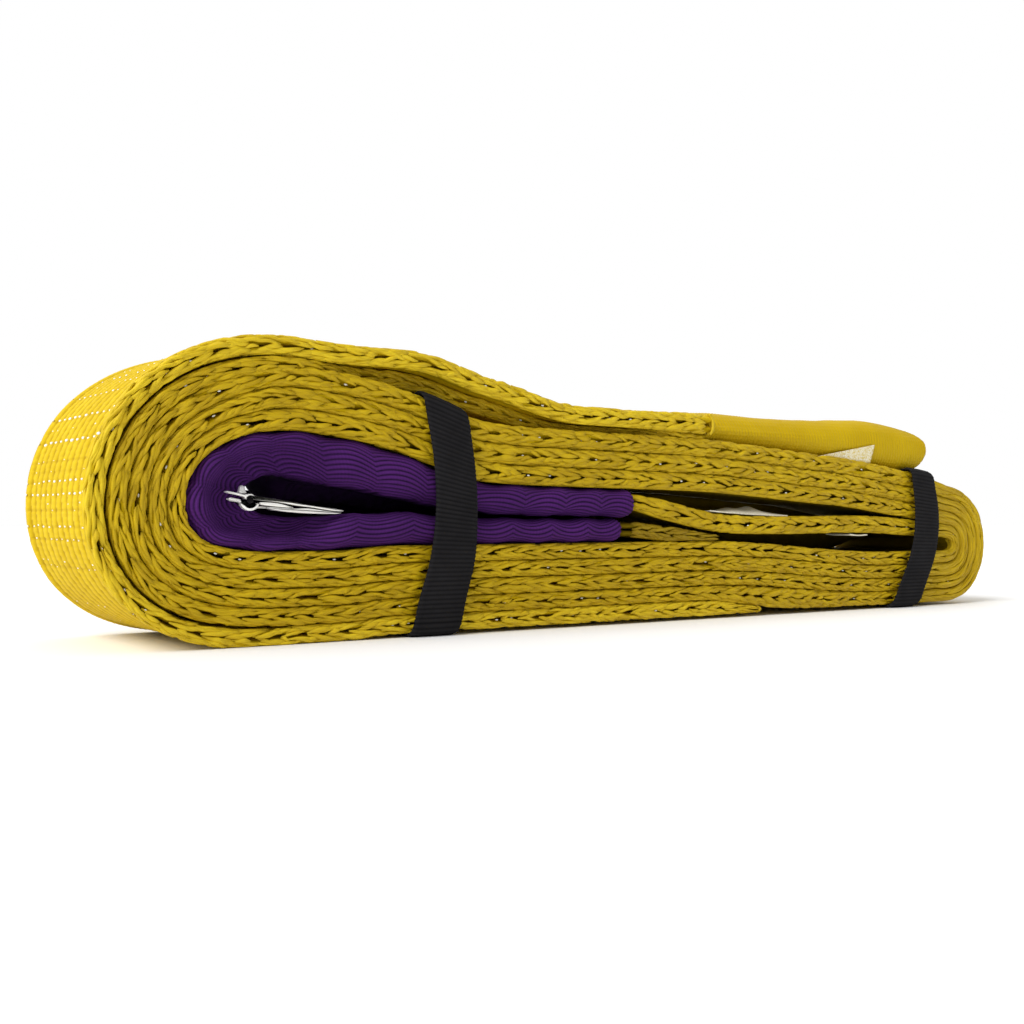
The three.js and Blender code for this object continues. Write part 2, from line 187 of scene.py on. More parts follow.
top_run = spline([
    (LEFT_TOP_X, CORE_TOP_Z), (-160, 83.8), (-137, 79.2), (-105, 69.3), (-85, 66.4),
    (-39, 65.2), (44, 63.8), (111, 59.3), (147, 56.8), (197, 51),
    (RIGHT_X, RIGHT_Z + 1.5 * PITCH),
])
low_left_z = float(bottom_height(LEFT_X))
bottom_x = np.linspace(RIGHT_X, LEFT_X, 300)
core = np.vstack([
    np.column_stack([bottom_x, bottom_height(bottom_x)]),
    bezier((LEFT_X, low_left_z), (-222, low_left_z), (-230, 43), (-230, 56))[1:],
    bezier((-230, 56), (-230, 75), (-212, CORE_TOP_Z), (LEFT_TOP_X, CORE_TOP_Z))[1:],
    top_run[1:],
])
core_out = outward(core)
on_top = (core_out[:, 1] > 0.5) & (core[:, 0] > -215)


def top_height(x, turns=0.0):
    line = core[on_top] + core_out[on_top] * turns * PITCH
    return np.interp(x, line[:, 0], line[:, 1])


def looseness(x):
    return smoothstep(x, -170, -108) * (1 - smoothstep(x, -95, -40))


def fan(x):
    """Where on top the front and back edges of the turns stand thicker than the middle."""
    return smoothstep(x, -225, -186) * (1 - smoothstep(x, 204, 240))


# Columns of a line: x, z, thickness, edge shift, extra edge thickness, narrowing in front,
# droop at the back and crown in the middle.
def columns(points, thick=WEB_THICK, shift=0.0, extra=0.0, narrow=0.0, droop=0.0, crown=0.0):
    cols = np.zeros((len(points), 8))
    cols[:, :2] = points
    for i, value in enumerate((thick, shift, extra, narrow, droop, crown)):
        cols[:, 2 + i] = value
    return cols


def low_sag(x):
    """How far the lowest full layer sags to the ground, past the end of the splice."""
    return 3.2 * smoothstep(x, 35, 85) * (1 - smoothstep(x, 95, 170))


def turn_columns(turn, bottom_end=1e9, top_end=1e9):
    keep = core[:, 0] < np.where(core_out[:, 1] < 0, bottom_end, top_end)
    base, out = core[keep], core_out[keep]
    p = base + out * (turn - 0.5) * PITCH
    top = (out[:, 1] > 0) & (base[:, 0] > -225)
    high = (turn > 3) & (p[:, 1] > CORE_TOP_Z) & (p[:, 0] > LEFT_TOP_X)
    p[:, 1] += np.where(high, LOOSE_LIFT * looseness(p[:, 0]), 0)
    if turn > 4:
        p[:, 1] += np.where(high, 0.4 * smoothstep(p[:, 0], 10, 42), 0)
    spread = np.where(top, fan(p[:, 0]), 0) * (turn < 4)
    extra = 0.19 * spread
    if turn == 5:
        extra = np.where(top, 0.08 + 0.11 * smoothstep(p[:, 0], -150, 20), 0.04)
        extra = extra + np.where(top, 0.2 * smoothstep(p[:, 0], 2, 34), 0)
    narrow = np.where(high & (turn == 4), 11 * smoothstep(p[:, 0], LEFT_TOP_X, -140), 0)
    narrow = narrow * (1 - 0.85 * smoothstep(p[:, 0], -15, 25))
    shift = 1.35 * (turn - 0.5) * spread
    if turn == 5:
        shift = 1.1 * smoothstep(-base[:, 0], 178, 205) * smoothstep(base[:, 1], 10, 40)
    # The loose turns' back edges stand up a little, so the left band can slide under them.
    droop = np.where(high, -LOOSE_BACK_LIFT * looseness(p[:, 0]), 0)
    cols = columns(p, shift=shift, extra=extra, narrow=narrow, droop=droop)
    if turn == 4:
        sag = np.where(out[:, 1] < -0.5, low_sag(p[:, 0]), 0)
        cols[:, 2] += sag
        cols[:, 1] -= sag / 2
    return cols


def right_turn(radius):
    a = np.linspace(math.pi / 2, -math.pi / 2, 40)[1:-1]
    p = np.column_stack([RIGHT_X + radius * np.cos(a), RIGHT_Z + radius * np.sin(a)])
    return columns(p)


class Line:
    """A middle line with even spacing of 1 mm, its outward normals and its columns."""

    def __init__(self, cols, soften=4.0):
        run = np.hypot(*np.diff(cols[:, :2], axis=0).T)
        keep = np.r_[True, run > 1e-6]
        cols = cols[keep]
        s = np.r_[0, np.cumsum(np.hypot(*np.diff(cols[:, :2], axis=0).T))]
        self.length = s[-1]
        self.s = np.linspace(0, s[-1], int(s[-1]) + 1)
        even = [np.interp(self.s, s, cols[:, i]) for i in range(cols.shape[1])]
        reach = int(3 * soften)
        kernel = np.exp(-0.5 * (np.arange(-reach, reach + 1) / soften)**2)
        kernel /= kernel.sum()
        smooth = []
        for values in even:
            head = 2 * values[0] - values[reach:0:-1]
            tail = 2 * values[-1] - values[-2:-reach - 2:-1]
            smooth.append(np.convolve(np.r_[head, values, tail], kernel, "valid"))
        self.cols = np.column_stack(smooth)
        self.out = outward(self.cols[:, :2])

    def at(self, s, h, y):
        """Row-frame points at s along the line, h outwards and y across; same shapes."""
        c = [np.interp(s, self.s, self.cols[:, i]) for i in range(8)]
        nx = np.interp(s, self.s, self.out[:, 0])
        nz = np.interp(s, self.s, self.out[:, 1])
        size = np.hypot(nx, nz)
        edge = smoothstep(np.abs(y), 35, 43)
        out = h * c[2] / WEB_THICK * (1 + c[4] * edge) + c[3] * edge
        across = np.where(y < 0, y * (1 - c[5] / HALF), y)
        droop = c[6] * smoothstep(y, 14, 34) - c[7] * np.exp(-(((y - 1) / 11)**2))
        return np.stack(
            [c[0] + nx / size * out, across, c[1] + nz / size * out - droop], axis=-1
        )


# ---- the webs' lines
EYE_OFFSET = -(GAP / 2 + SLEEVE_THICK / 2)
upper_leg = spline([
    (SLEEVE_UPPER_X + 4, float(top_height(SLEEVE_UPPER_X)) + EYE_OFFSET - 0.2),
    (23, 52.8), (54, 47.9), (100, 46.9), (160, 47.2), (200, 45.2),
    (RIGHT_X, RIGHT_Z + PITCH),
])
tail_x = np.linspace(TAIL_X, LEFT_X + 24, 220)
tail_thick = WEB_THICK - 4.2 * smoothstep(tail_x, 14, TAIL_X)
tail_z = lerp(
    bottom_height(tail_x) - EYE_OFFSET,
    bottom_height(tail_x) + GAP / 2 + tail_thick / 2,
    smoothstep(tail_x, SLEEVE_LOWER_X + 9, 16),
)
in_loop = (core[:, 0] < SLEEVE_UPPER_X) & ((core_out[:, 1] > 0) | (core[:, 0] < LEFT_X + 1))
loop = core[in_loop] + core_out[in_loop] * EYE_OFFSET
leg_extra = 0.28 * smoothstep(upper_leg[:, 0], -4, 10)
leg_extra *= 1 - smoothstep(upper_leg[:, 0], 190, 234)
leg_droop = through(
    [(-5, 0), (75, 0), (100, 3.5), (130, 7.5), (160, 10), (190, 11.5), (215, 10.5), (237, 3)],
    upper_leg[:, 0],
)
# Behind its front edge the leg bulges up against the layer above.
leg_crown = top_height(upper_leg[:, 0]) - upper_leg[:, 1] - LEG_ROOM
leg_crown *= smoothstep(upper_leg[:, 0], -5, 12) * (1 - smoothstep(upper_leg[:, 0], 130, 200))
inside_roll = np.vstack([
    columns(
        np.column_stack([tail_x, tail_z]), thick=tail_thick,
        narrow=3 * smoothstep(-tail_x, 10, 20) + 13 * smoothstep(-tail_x, 140, 165),
    ),
    columns(loop, narrow=3 + 13 * smoothstep(-loop[:, 0], 150, 185)),
    columns(upper_leg, extra=leg_extra, droop=leg_droop, crown=leg_crown),
    right_turn(PITCH), turn_columns(1),
])
inside_length = Line(inside_roll).length
web = Line(np.vstack([
    inside_roll, right_turn(2 * PITCH), turn_columns(2),
    right_turn(3 * PITCH), turn_columns(3),
    right_turn(4 * PITCH), turn_columns(4, top_end=40),
    columns(np.array([[EYE_X0 - 2, float(top_height(EYE_X0, 3.5))]]), narrow=1.5),
]))
splice_cols = turn_columns(5, SPLICE_BOTTOM_X, SPLICE_TOP_X)
low = (splice_cols[:, 1] < ROLL_BASE + PITCH) & (splice_cols[:, 0] > 0)
low_x = splice_cols[low, 0]
room = bottom_height(low_x) - 4 * PITCH - low_sag(low_x) - ROLL_BASE
splice_cols[low, 2] = np.minimum(WEB_THICK, room)
splice_cols[low, 1] = ROLL_BASE + splice_cols[low, 2] / 2
splice = Line(splice_cols)

# ---- mesh helpers
scene = bpy.context.scene


def strip_caps(n, base):
    """Quads that close a ring of n points whose second half runs back beside its first."""
    j = np.arange(n // 2 - 1)
    return base + np.column_stack([j, j + 1, n - 2 - j, n - 1 - j])


def ring_quads(rings, around):
    i = np.arange(rings - 1)[:, None] * around
    j = np.arange(around)[None, :]
    k = (j + 1) % around
    return np.stack([i + j, i + k, i + k + around, i + j + around], -1).reshape(-1, 4)


def closed_tube(rings, around):
    """Quads of a tube with a closed ring at each end."""
    return np.vstack([
        ring_quads(rings, around),
        strip_caps(around, 0)[:, ::-1],
        strip_caps(around, (rings - 1) * around),
    ])


def many_tubes(count, rings, around):
    """Quads of so many closed tubes, one after another."""
    start = np.arange(count)[:, None, None] * rings * around
    return (start + closed_tube(rings, around)[None]).reshape(-1, 4)


def new_piece(name, points, quads, material, body="roll", shade=None):
    """A mesh piece from points in millimetres, with its faces turned outwards.

    shade is painted shade from 0 to 1 at each point: 0 in the depth of the weave, where the
    material's deep shade colour shows fully, and 1 on top of it.
    """
    v = (np.asarray(points, float).reshape(-1, 3) - MIDDLE) * 0.001
    v[:, 2] = np.maximum(v[:, 2], 0)
    q = np.asarray(quads, np.int64)
    a, b, c, d = (v[q[:, i]] for i in range(4))
    volume = np.einsum("ij,ij->i", a, np.cross(b, c) + np.cross(c, d)).sum()
    if volume < 0:
        q = q[:, ::-1]
    mesh = bpy.data.meshes.new(name)
    mesh.vertices.add(len(v))
    mesh.vertices.foreach_set("co", v.astype(np.float32).ravel())
    mesh.loops.add(q.size)
    mesh.loops.foreach_set("vertex_index", q.astype(np.int32).ravel())
    mesh.polygons.add(len(q))
    mesh.polygons.foreach_set("loop_start", np.arange(0, q.size, 4, dtype=np.int32))
    mesh.update(calc_edges=True)
    mesh.polygons.foreach_set("use_smooth", np.ones(len(q), bool))
    tone = mesh.attributes.new("shade", "FLOAT", "POINT")
    values = np.ones(len(v)) if shade is None else np.asarray(shade, float).ravel()
    tone.data.foreach_set("value", values.astype(np.float32))
    mesh.materials.append(material)
    obj = bpy.data.objects.new(name, mesh)
    scene.collection.objects.link(obj)
    if body:
        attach(obj, body)
    return obj


# ---- materials
def rgb(r, g, b):
    """Linear colour of sRGB values from 0 to 255."""
    c = np.array([r, g, b]) / 255
    low_part, high_part = c / 12.92, ((c + 0.055) / 1.055)**2.4
    return (*np.where(c <= 0.04045, low_part, high_part).tolist(), 1.0)


def add(nodes, kind, data_type=None, **values):
    """A new shader node; an underscore in an input's name stands for a space."""
    made = nodes.new("ShaderNode" + kind)
    if data_type:
        made.data_type = data_type
    for name, value in values.items():
        made.inputs[name.replace("_", " ")].default_value = value
    return made


def new_material(name):
    material = bpy.data.materials.new(name)
    material.use_nodes = True
    nodes, links = material.node_tree.nodes, material.node_tree.links
    return material, nodes, links, nodes["Principled BSDF"].inputs


def cloth(name, deep, dark, light, scale, bump, roughness=0.85, specular=0.12, island=0.0):
    """Woven cloth: a colour that wanders between two, thread grain as a fine bump, and the deep
    colour mixed in by the shade attribute as painted shade.
    """
    material, nodes, links, shader = new_material(name)
    place = add(nodes, "TexCoord").outputs["Object"]
    wander = add(nodes, "TexNoise", Scale=scale, Detail=4)
    links.new(place, wander.inputs["Vector"])
    share = add(nodes, "MapRange", From_Min=0.3, From_Max=0.7)
    links.new(wander.outputs["Fac"], share.inputs["Value"])
    tone = share.outputs["Result"]
    if island:
        each = add(nodes, "NewGeometry").outputs["Random Per Island"]
        blend = add(nodes, "Mix", "FLOAT", Factor=island)
        links.new(tone, blend.inputs["A"])
        links.new(each, blend.inputs["B"])
        tone = blend.outputs["Result"]
    mix = add(nodes, "Mix", "RGBA", A=dark, B=light)
    links.new(tone, mix.inputs["Factor"])
    # Painted shade: the shade attribute mixes the deep colour in, darker in hollows, grooves and
    # inside the roll.
    depth = add(nodes, "Attribute")
    depth.attribute_name = "shade"
    full = add(nodes, "Mix", "RGBA", A=deep)
    links.new(depth.outputs["Fac"], full.inputs["Factor"])
    links.new(mix.outputs["Result"], full.inputs["B"])
    links.new(full.outputs["Result"], shader["Base Color"])
    grain = add(nodes, "TexNoise", Scale=1500, Detail=2)
    links.new(place, grain.inputs["Vector"])
    relief = add(nodes, "Bump", Strength=bump, Distance=0.0004)
    links.new(grain.outputs["Fac"], relief.inputs["Height"])
    links.new(relief.outputs["Normal"], shader["Normal"])
    shader["Roughness"].default_value = roughness
    shader["Specular IOR Level"].default_value = specular
    return material


def steel(name, color, roughness, metallic=1.0):
    material, nodes, links, shader = new_material(name)
    wear = add(nodes, "TexNoise", Scale=260)
    links.new(add(nodes, "TexCoord").outputs["Object"], wear.inputs["Vector"])
    spread = add(nodes, "MapRange", To_Min=roughness * 0.7, To_Max=roughness * 1.5)
    links.new(wear.outputs["Fac"], spread.inputs["Value"])
    links.new(spread.outputs["Result"], shader["Roughness"])
    shader["Base Color"].default_value = color
    shader["Metallic"].default_value = metallic
    return material


# Each cloth's first colour is its painted shade colour, which the shade attribute mixes in.
yellow_strand = cloth(
    "yellow_strand", rgb(70, 50, 0), rgb(174, 142, 2), rgb(210, 178, 12), 60, 0.35,
    roughness=0.55, specular=0.22, island=0.5,
)
# A lighter copy of the strand yellow: painted light on the selvedges and whipped ends of the
# splice, the outermost turn, as if they caught the key light.
yellow_strand_lit = cloth(
    "yellow_strand_lit", rgb(80, 58, 0), rgb(198, 165, 8), rgb(234, 204, 32), 60, 0.35,
    roughness=0.55, specular=0.25, island=0.5,
)
yellow_face = cloth(
    "yellow_face", rgb(146, 110, 0), rgb(204, 172, 8), rgb(216, 185, 24), 40, 0.3,
    roughness=0.7, specular=0.1,
)
yellow_web = cloth(
    "yellow_web", rgb(30, 22, 0), rgb(196, 163, 6), rgb(208, 176, 14), 40, 0.3,
    roughness=0.7, specular=0.06,
)
yellow_eye = cloth(
    "yellow_eye", rgb(150, 116, 2), rgb(190, 157, 6), rgb(204, 172, 14), 25, 0.25,
    roughness=0.6, specular=0.12,
)
purple = cloth("purple_sleeve", rgb(22, 7, 32), rgb(72, 30, 98), rgb(84, 36, 112), 30, 0.5)
black = cloth("black_elastic", rgb(8, 8, 9), rgb(28, 27, 29), rgb(36, 35, 37), 90, 0.4)
white = cloth("white_label", rgb(150, 140, 90), rgb(214, 208, 180), rgb(236, 232, 216), 900, 0.5)
speckled = cloth(
    "speckled_label", rgb(200, 168, 30), rgb(216, 190, 70), rgb(246, 244, 232), 1100, 0.5,
)
white_pick = cloth(
    "white_pick", rgb(200, 198, 180), rgb(230, 228, 216), rgb(246, 245, 238), 300, 0.2,
)
thread = cloth("yellow_thread", rgb(120, 96, 6), rgb(190, 158, 16), rgb(222, 190, 30), 200, 0.3)
black_thread = cloth("black_thread", rgb(10, 10, 11), rgb(20, 20, 22), rgb(30, 30, 32), 200, 0.3)
bright = steel("bright_steel", rgb(252, 251, 246), 0.35, 0.3)
dark_steel = steel("dark_steel", rgb(30, 28, 30), 0.25)

# ---- webs
RIBS = 12
RIB = WEB_WIDTH / RIBS

# Heights on the left turn where a row of the white weft shows, with how much of the row
# shows and how large its picks are.
WEFT_ROWS = (
    (89.8, 1.0, 1.0), (80.5, 1.0, 1.15), (64.6, 0.9, 0.8), (59.8, 0.95, 0.85),
    (47.5, 0.75, 0.75), (43.0, 0.6, 0.6), (99.0, 0.6, 0.7), (72.5, 0.3, 0.4),
    (53.5, 0.35, 0.4), (33.0, 0.3, 0.5), (106.0, 0.6, 0.7), (68.5, 0.35, 0.4),
)
on_left = splice.cols[:, 0] < -200
weft_s = [
    float(splice.s[on_left][np.argmin(np.abs(splice.cols[on_left, 1] - z))])
    for z, share, size in WEFT_ROWS
]


def weave(s, y):
    """Height of the splice's outer face: ribs along it, slanted floats, weft rows."""
    across = (y + HALF) / RIB
    saw = np.mod(s / 5.2 + 0.37 * np.floor(across) + 0.2 * np.sin(s / 23), 1) - 0.5
    rib = np.abs(np.sin(np.pi * (across + 0.16 * saw)))**0.5
    rows = sum(np.exp(-(((s - at) / 0.5)**2)) for at in weft_s)
    return 0.6 * (rib - 1) + 0.05 * np.sin(2 * np.pi * s / 2.3) * rib - 0.16 * rows


def ply(name, line, low_h, high_h, step, across, material, detailed):
    """One ply as a closed ribbon from low_h to high_h off the line's middle."""
    s = np.linspace(0, line.length, int(line.length / step) + 1)
    u = np.linspace(-1, 1, across)
    y = PLY_HALF * (0.35 * u + 0.65 * np.sin(u * math.pi / 2))
    middle, half = (low_h + high_h) / 2, (high_h - low_h) / 2
    full = np.maximum(1 - np.abs(y / y[-1])**14, 0.06)**0.5
    S, Y = np.meshgrid(s, y, indexing="ij")
    relief = np.zeros_like(S)
    if detailed:
        relief = weave(S, Y) * smoothstep(HALF - np.abs(Y), 2, 5)
    elif across > 60:
        relief = 0.4 * (np.abs(np.sin(np.pi * (Y + HALF) / RIB))**0.6 - 1)
    sign = 1 if middle > 0 else -1
    outer = line.at(S, middle + sign * (half * full + relief), Y)
    inner = line.at(S, middle - sign * half * full, Y)
    points = np.concatenate([outer, inner[:, ::-1]], axis=1)
    quads = closed_tube(len(s), 2 * across)
    # Painted shade: the colour darkens into the grooves of the ribs and weft rows.
    tone = np.clip(1 + 1.35 * relief, 0, 1)
    # The web's edges and everything inside the roll lie in shadow.
    edge = 1 - 0.15 * smoothstep(np.abs(Y), 37, 42)
    dark = np.where(S < inside_length, 0.3, 1.0) if line is web else 1.0
    back = edge * dark
    front = tone if detailed else tone * (back if sign < 0 or line is web else edge)
    shade = np.concatenate([front, back], axis=1)
    return new_piece(name, points, quads, material, shade=shade)


PIT_PITCH = 10.6


def pits_of(line, seed):
    r = np.random.default_rng(seed)
    count = int(line.length / PIT_PITCH)
    return (np.arange(count) + 0.5) * PIT_PITCH + r.normal(0, 1.1, count)


# The yarns of one leaf of the selvedge: how far the tip lies before the pit, height off the
# ply's inner face from .. to, depth across from .. to, thickness and length.
LEAF = (
    (-0.2, 1.35, 0.3, 43.6, 44.0, 0.82, 10.0),
    (-2.7, 1.8, 0.85, 43.5, 44.1, 0.8, 11.0),
    (-5.6, 2.3, 1.5, 43.4, 44.0, 0.74, 11.0),
    (-8.0, 2.65, 2.05, 43.1, 43.8, 0.74, 12.0),
    (-3.5, 2.8, 2.45, 42.9, 43.4, 0.7, 10.0),
    (-9.0, 3.1, 2.75, 42.3, 43.0, 0.7, 12.0),
    (-1.5, 3.3, 3.0, 41.4, 42.6, 0.7, 11.0),
    (-6.0, 3.4, 3.1, 40.2, 42.0, 0.66, 9.0),
)
LEAF_SPREAD = np.array([1.5, 0.26, 0.26, 0.3, 0.3, 0.1, 2.2])

# How far off the line's middle the selvedge may stand: everywhere, and on the outside of
# the splice at the back and in front.
LIP, BACK_LIP, FRONT_LIP = 3.75, 2.7, 3.9


def strands(name, line, sign, side, pits, start=0.0, end=None, seed=1, dim=1.0):
    """The plaited selvedge of one ply: slanted yarns that close into a leaf at each pit."""
    r = np.random.default_rng(seed)
    end = line.length if end is None else end
    drift = 0 if sign > 0 else 3.4 * np.sin(pits / 70.0 + seed)
    last = pits + drift
    last = np.r_[last[0] - PIT_PITCH, last, last[-1] + PIT_PITCH]
    yarns = []
    for lag, high, low, y_high, y_low, fat, length in LEAF:
        plain = np.array([lag, high, low, y_high, y_low, fat, length])
        one = plain + r.normal(0, 1, (len(last), 7)) * LEAF_SPREAD
        one[:, 0] += last
        yarns.append(one)
    yarns = np.vstack(yarns)
    tip, high, low, y_high, y_low, fat, length = yarns.T
    # Round the right turn the yarns run closer together and nearly straight.
    calm = smoothstep(np.interp(tip, line.s, line.cols[:, 0]), 196, 236)
    tip = tip + 4 * calm
    length = length * (1 + 0.7 * calm)
    mean = (high + low) / 2
    high, low = lerp(high, mean + 0.15, calm), lerp(low, mean - 0.15, calm)
    root = np.maximum(tip - length, start + 0.4)
    tip = np.minimum(tip, end - 0.3)
    keep = tip - root > 4
    tip, root, high, low, fat, y_high, y_low, calm = (
        values[keep][:, None] for values in (tip, root, high, low, fat, y_high, y_low, calm)
    )
    count, rings, around = len(tip), 12, 8
    t = np.linspace(0, 1, rings)[None, :]
    s = root + t * (tip - root)
    ease = 0.4 * t + 0.6 * (0.5 - 0.5 * np.cos(np.pi * t))
    turns, offset = r.uniform(0.6, 1.3, (count, 1)), r.uniform(0, 6, (count, 1))
    wave = 0.26 * np.sin(2 * np.pi * t * turns + offset)
    h = lerp(high, low, ease) + wave * (1 - 0.6 * calm)
    body = np.sin(np.pi * np.clip(t, 0.04, 0.96))
    tall = (0.2 + 0.85 * body**0.6) * fat
    deep = (0.15 + 0.85 * body**0.6) * fat
    lip = LIP
    if line is splice and sign > 0:
        lip = BACK_LIP if side > 0 else FRONT_LIP
    h = np.minimum(h, lip - tall)
    y = lerp(y_high, y_low, t) + (0.6 * body - 0.3) * (1 - 0.5 * calm)
    phase = np.linspace(0, 2 * np.pi, around, endpoint=False)
    S = np.repeat(s[..., None], around, -1)
    H = sign * (h[..., None] + tall[..., None] * np.cos(phase))
    Y = side * (y[..., None] + deep[..., None] * np.sin(phase))
    # Painted shade: each yarn darkens towards its ends, where it dives into the pits, and on its
    # side turned into the web; less so round the right turn. The set's own factor can darken it
    # further.
    ends = lerp(0.62 + 0.38 * body**0.7, 0.9, 0.7 * calm) * dim
    shade = ends[..., None] * (0.65 + 0.35 * smoothstep(np.sin(phase), -0.8, 0.5))
    return new_piece(
        name, line.at(S, H, Y), many_tubes(count, rings, around),
        yellow_strand_lit if line is splice else yellow_strand, shade=shade,
    )


def beads(name, centres, axes, material):
    """Small rounded picks of yarn; axes are the three half-axis vectors of each."""
    rings, around = 5, 6
    a = np.linspace(0.12, np.pi - 0.12, rings)
    b = np.linspace(0, 2 * np.pi, around, endpoint=False)
    A, B = np.meshgrid(a, b, indexing="ij")
    local = np.stack([np.cos(A), np.sin(A) * np.cos(B), np.sin(A) * np.sin(B)], -1)
    points = centres[:, None, None, :] + np.einsum("rac,ncx->nrax", local, axes)
    return new_piece(
        name, points, many_tubes(len(centres), rings, around), material
    )


def bead_axes(line, s, long, wide, tall):
    """Half axes of beads on a line, long along it."""
    nx = np.interp(s, line.s, line.out[:, 0])
    nz = np.interp(s, line.s, line.out[:, 1])
    zero = np.zeros_like(nx)
    along = np.stack([nz, zero, -nx], -1)
    out = np.stack([nx, zero, nz], -1)
    across = np.stack([zero, zero + 1, zero], -1)
    return np.stack([along * long, across * wide, out * tall], 1)


inside_s = web.s[(web.cols[:, 0] < SLEEVE_UPPER_X + 2) & (web.s < 700)]
sleeve_out_s = float(inside_s.max())
tail_in_s = float(inside_s.min())

SEAM_H, FACE_H = 0.03, 3.55  # a ply's two faces, off the middle of the web
web_outer = ply("web_outer", web, SEAM_H, FACE_H, 3.2, 100, yellow_web, False)
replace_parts(web_outer, "web_outer_ply")
web_inner = ply("web_inner", web, -FACE_H, -SEAM_H, 3.2, 40, yellow_web, False)
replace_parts(web_inner, "web_inner_ply")
splice_outer = ply("splice_outer", splice, SEAM_H, 3.5, 0.5, 210, yellow_face, True)
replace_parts(splice_outer, "splice_outer_ply")
splice_inner = ply("splice_inner", splice, -FACE_H, -SEAM_H, 2.0, 100, yellow_web, False)
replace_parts(splice_inner, "splice_inner_ply")

PICK_SHARE = 0.38  # of the selvedge's pits show a white pick
edge_pieces = {"web_outer": [], "web_inner": [], "splice_outer": [], "splice_inner": []}
picks = []
for side, side_name in ((-1, "front"), (1, "back")):
    for line, label, seed in ((web, "web", 20), (splice, "splice", 40)):
        pits = pits_of(line, seed + side)
        for sign, ply_name in ((1, "outer"), (-1, "inner")):
            key = f"{label}_{ply_name}"
            made = strands(
                f"{key}_selvedge_{side_name}", line, sign, side, pits,
                start=sleeve_out_s if label == "web" else 0.0,
                seed=seed + side + 5 * sign,
            )
            edge_pieces[key].append(made)
            if label == "web":
                # The tail lies deep inside the roll, so its yarns get extra painted shade.
                tail = strands(
                    f"{key}_tail_selvedge_{side_name}", line, sign, side, pits,
                    start=0.0, end=tail_in_s, seed=seed + side + 7 * sign, dim=0.55,
                )
                edge_pieces[key].append(tail)
        r = np.random.default_rng(seed + 60 + side)
        chosen = pits[r.random(len(pits)) < PICK_SHARE]
        first = sleeve_out_s if label == "web" else 0
        chosen = chosen[(chosen > first) & (chosen < line.length - 3)]
        s = chosen + 1.5 + r.normal(0, 0.8, len(chosen))
        h = r.normal(-0.2, 0.3, len(s))
        centres = line.at(s, h, side * (43.3 + r.uniform(0, 0.6, len(s))))
        picks.append(beads(
            f"{label}_picks_{side_name}", centres, bead_axes(line, s, 0.75, 0.4, 0.4),
            white_pick,
        ))

# The splice's two cut ends are whipped over with yarn.
for end_name, at_s, way in (("bottom", 0.0, 1), ("top", splice.length, -1)):
    y = np.arange(-43.6, 43.7, 1.9)
    y += np.random.default_rng(9).normal(0, 0.15, len(y))
    wrap = 1.35
    a = np.linspace(-wrap, wrap, 14)
    q = np.linspace(0, 2 * np.pi, 8, endpoint=False)
    cos_a, sin_a = np.cos(a)[None, :, None], np.sin(a)[None, :, None]
    fat = 0.85 * np.cos(a / 1.5)[None, :, None]
    across = y[:, None, None]
    S = at_s + way * (2.6 - 3.0 * cos_a) + 0 * across - way * fat * np.cos(q) * cos_a
    H = FACE_H * sin_a / np.sin(wrap) + 0 * across + fat * np.cos(q) * sin_a
    Y = across + 0.4 * sin_a + fat * np.sin(q)
    beyond = (S - np.clip(S, 0, splice.length))[..., None]
    out_x, out_z = splice.out[0 if way > 0 else -1]
    points = splice.at(S, H, Y) + beyond * np.array([out_z, 0, -out_x])
    edge_pieces["splice_outer"].append(new_piece(
        f"splice_{end_name}_whipping", points, many_tubes(len(y), 14, 8), yellow_strand_lit,
        shade=np.full(H.shape, 0.85),
    ))

# White picks show in rows across the outside of the splice, between its ribs.
r = np.random.default_rng(77)
rows = []
spots = [(at, share, size) for at, (z, share, size) in zip(weft_s, WEFT_ROWS)]
other = np.arange(8, splice.length - 10, 19.0)
spots += [(at, 0.4, 0.6) for at in other + r.normal(0, 4, len(other))]
for at_s, share, size in spots:
    for k in range(RIBS):
        if r.random() < share:
            s = at_s + r.normal(0, 0.2)
            y = -HALF + (k + 0.5 + r.normal(0.0, 0.05)) * RIB
            rows.append((s, y, size * r.uniform(0.7, 1.15)))
row_s, row_y, row_size = np.array([row for row in rows if abs(row[1]) < HALF - 2.5]).T
centres = splice.at(row_s, np.full(len(row_s), 3.4), row_y)
axes = bead_axes(splice, row_s, 0.55, 1.5, 0.45) * row_size[:, None, None]
picks.append(beads("splice_face_picks", centres, axes, white_pick))

# ---- wear sleeve
SLEEVE_PAIRS = (  # x and z on the outside of the sleeve's front edge, and on its inside
    (-17, 39.2, -17, 50.6), (-60, 39.2, -60, 50.4), (-110, 39.1, -108, 51.6),
    (-137, 39.0, -134, 53.2), (-165, 37.5, -160, 52.2), (-190, 37.4, -180, 51.2),
    (-213, 39.8, -195, 52.2), (-226, 46.5, -202.5, 55), (-230, 56, -205.5, 58.8),
    (-227.5, 68, -205, 62.5), (-217, 78.5, -201, 66), (-200, 85, -192, 68.2),
    (-183, 86.3, -176, 65.6), (-160, 83.8, -155, 63.2), (-137, 79.2, -133, 59.4),
    (-105, 69.3, -107, 55.0), (-85, 66.4, -86, 52.8), (-39, 65.2, -39, 51.6),
    (-9, 64.7, -9, 51.0),
)
SLEEVE_HALF, SLEEVE_ROUND = 47.0, 7.5  # half its flat width, and how deep its edges round
SLEEVE_RIB = 2.15


def rounded_edge(f):
    """y across the sleeve's back edge, f running from its outside 0 to its inside 1."""
    return SLEEVE_HALF - SLEEVE_ROUND * np.abs(2 * f - 1)**3.2


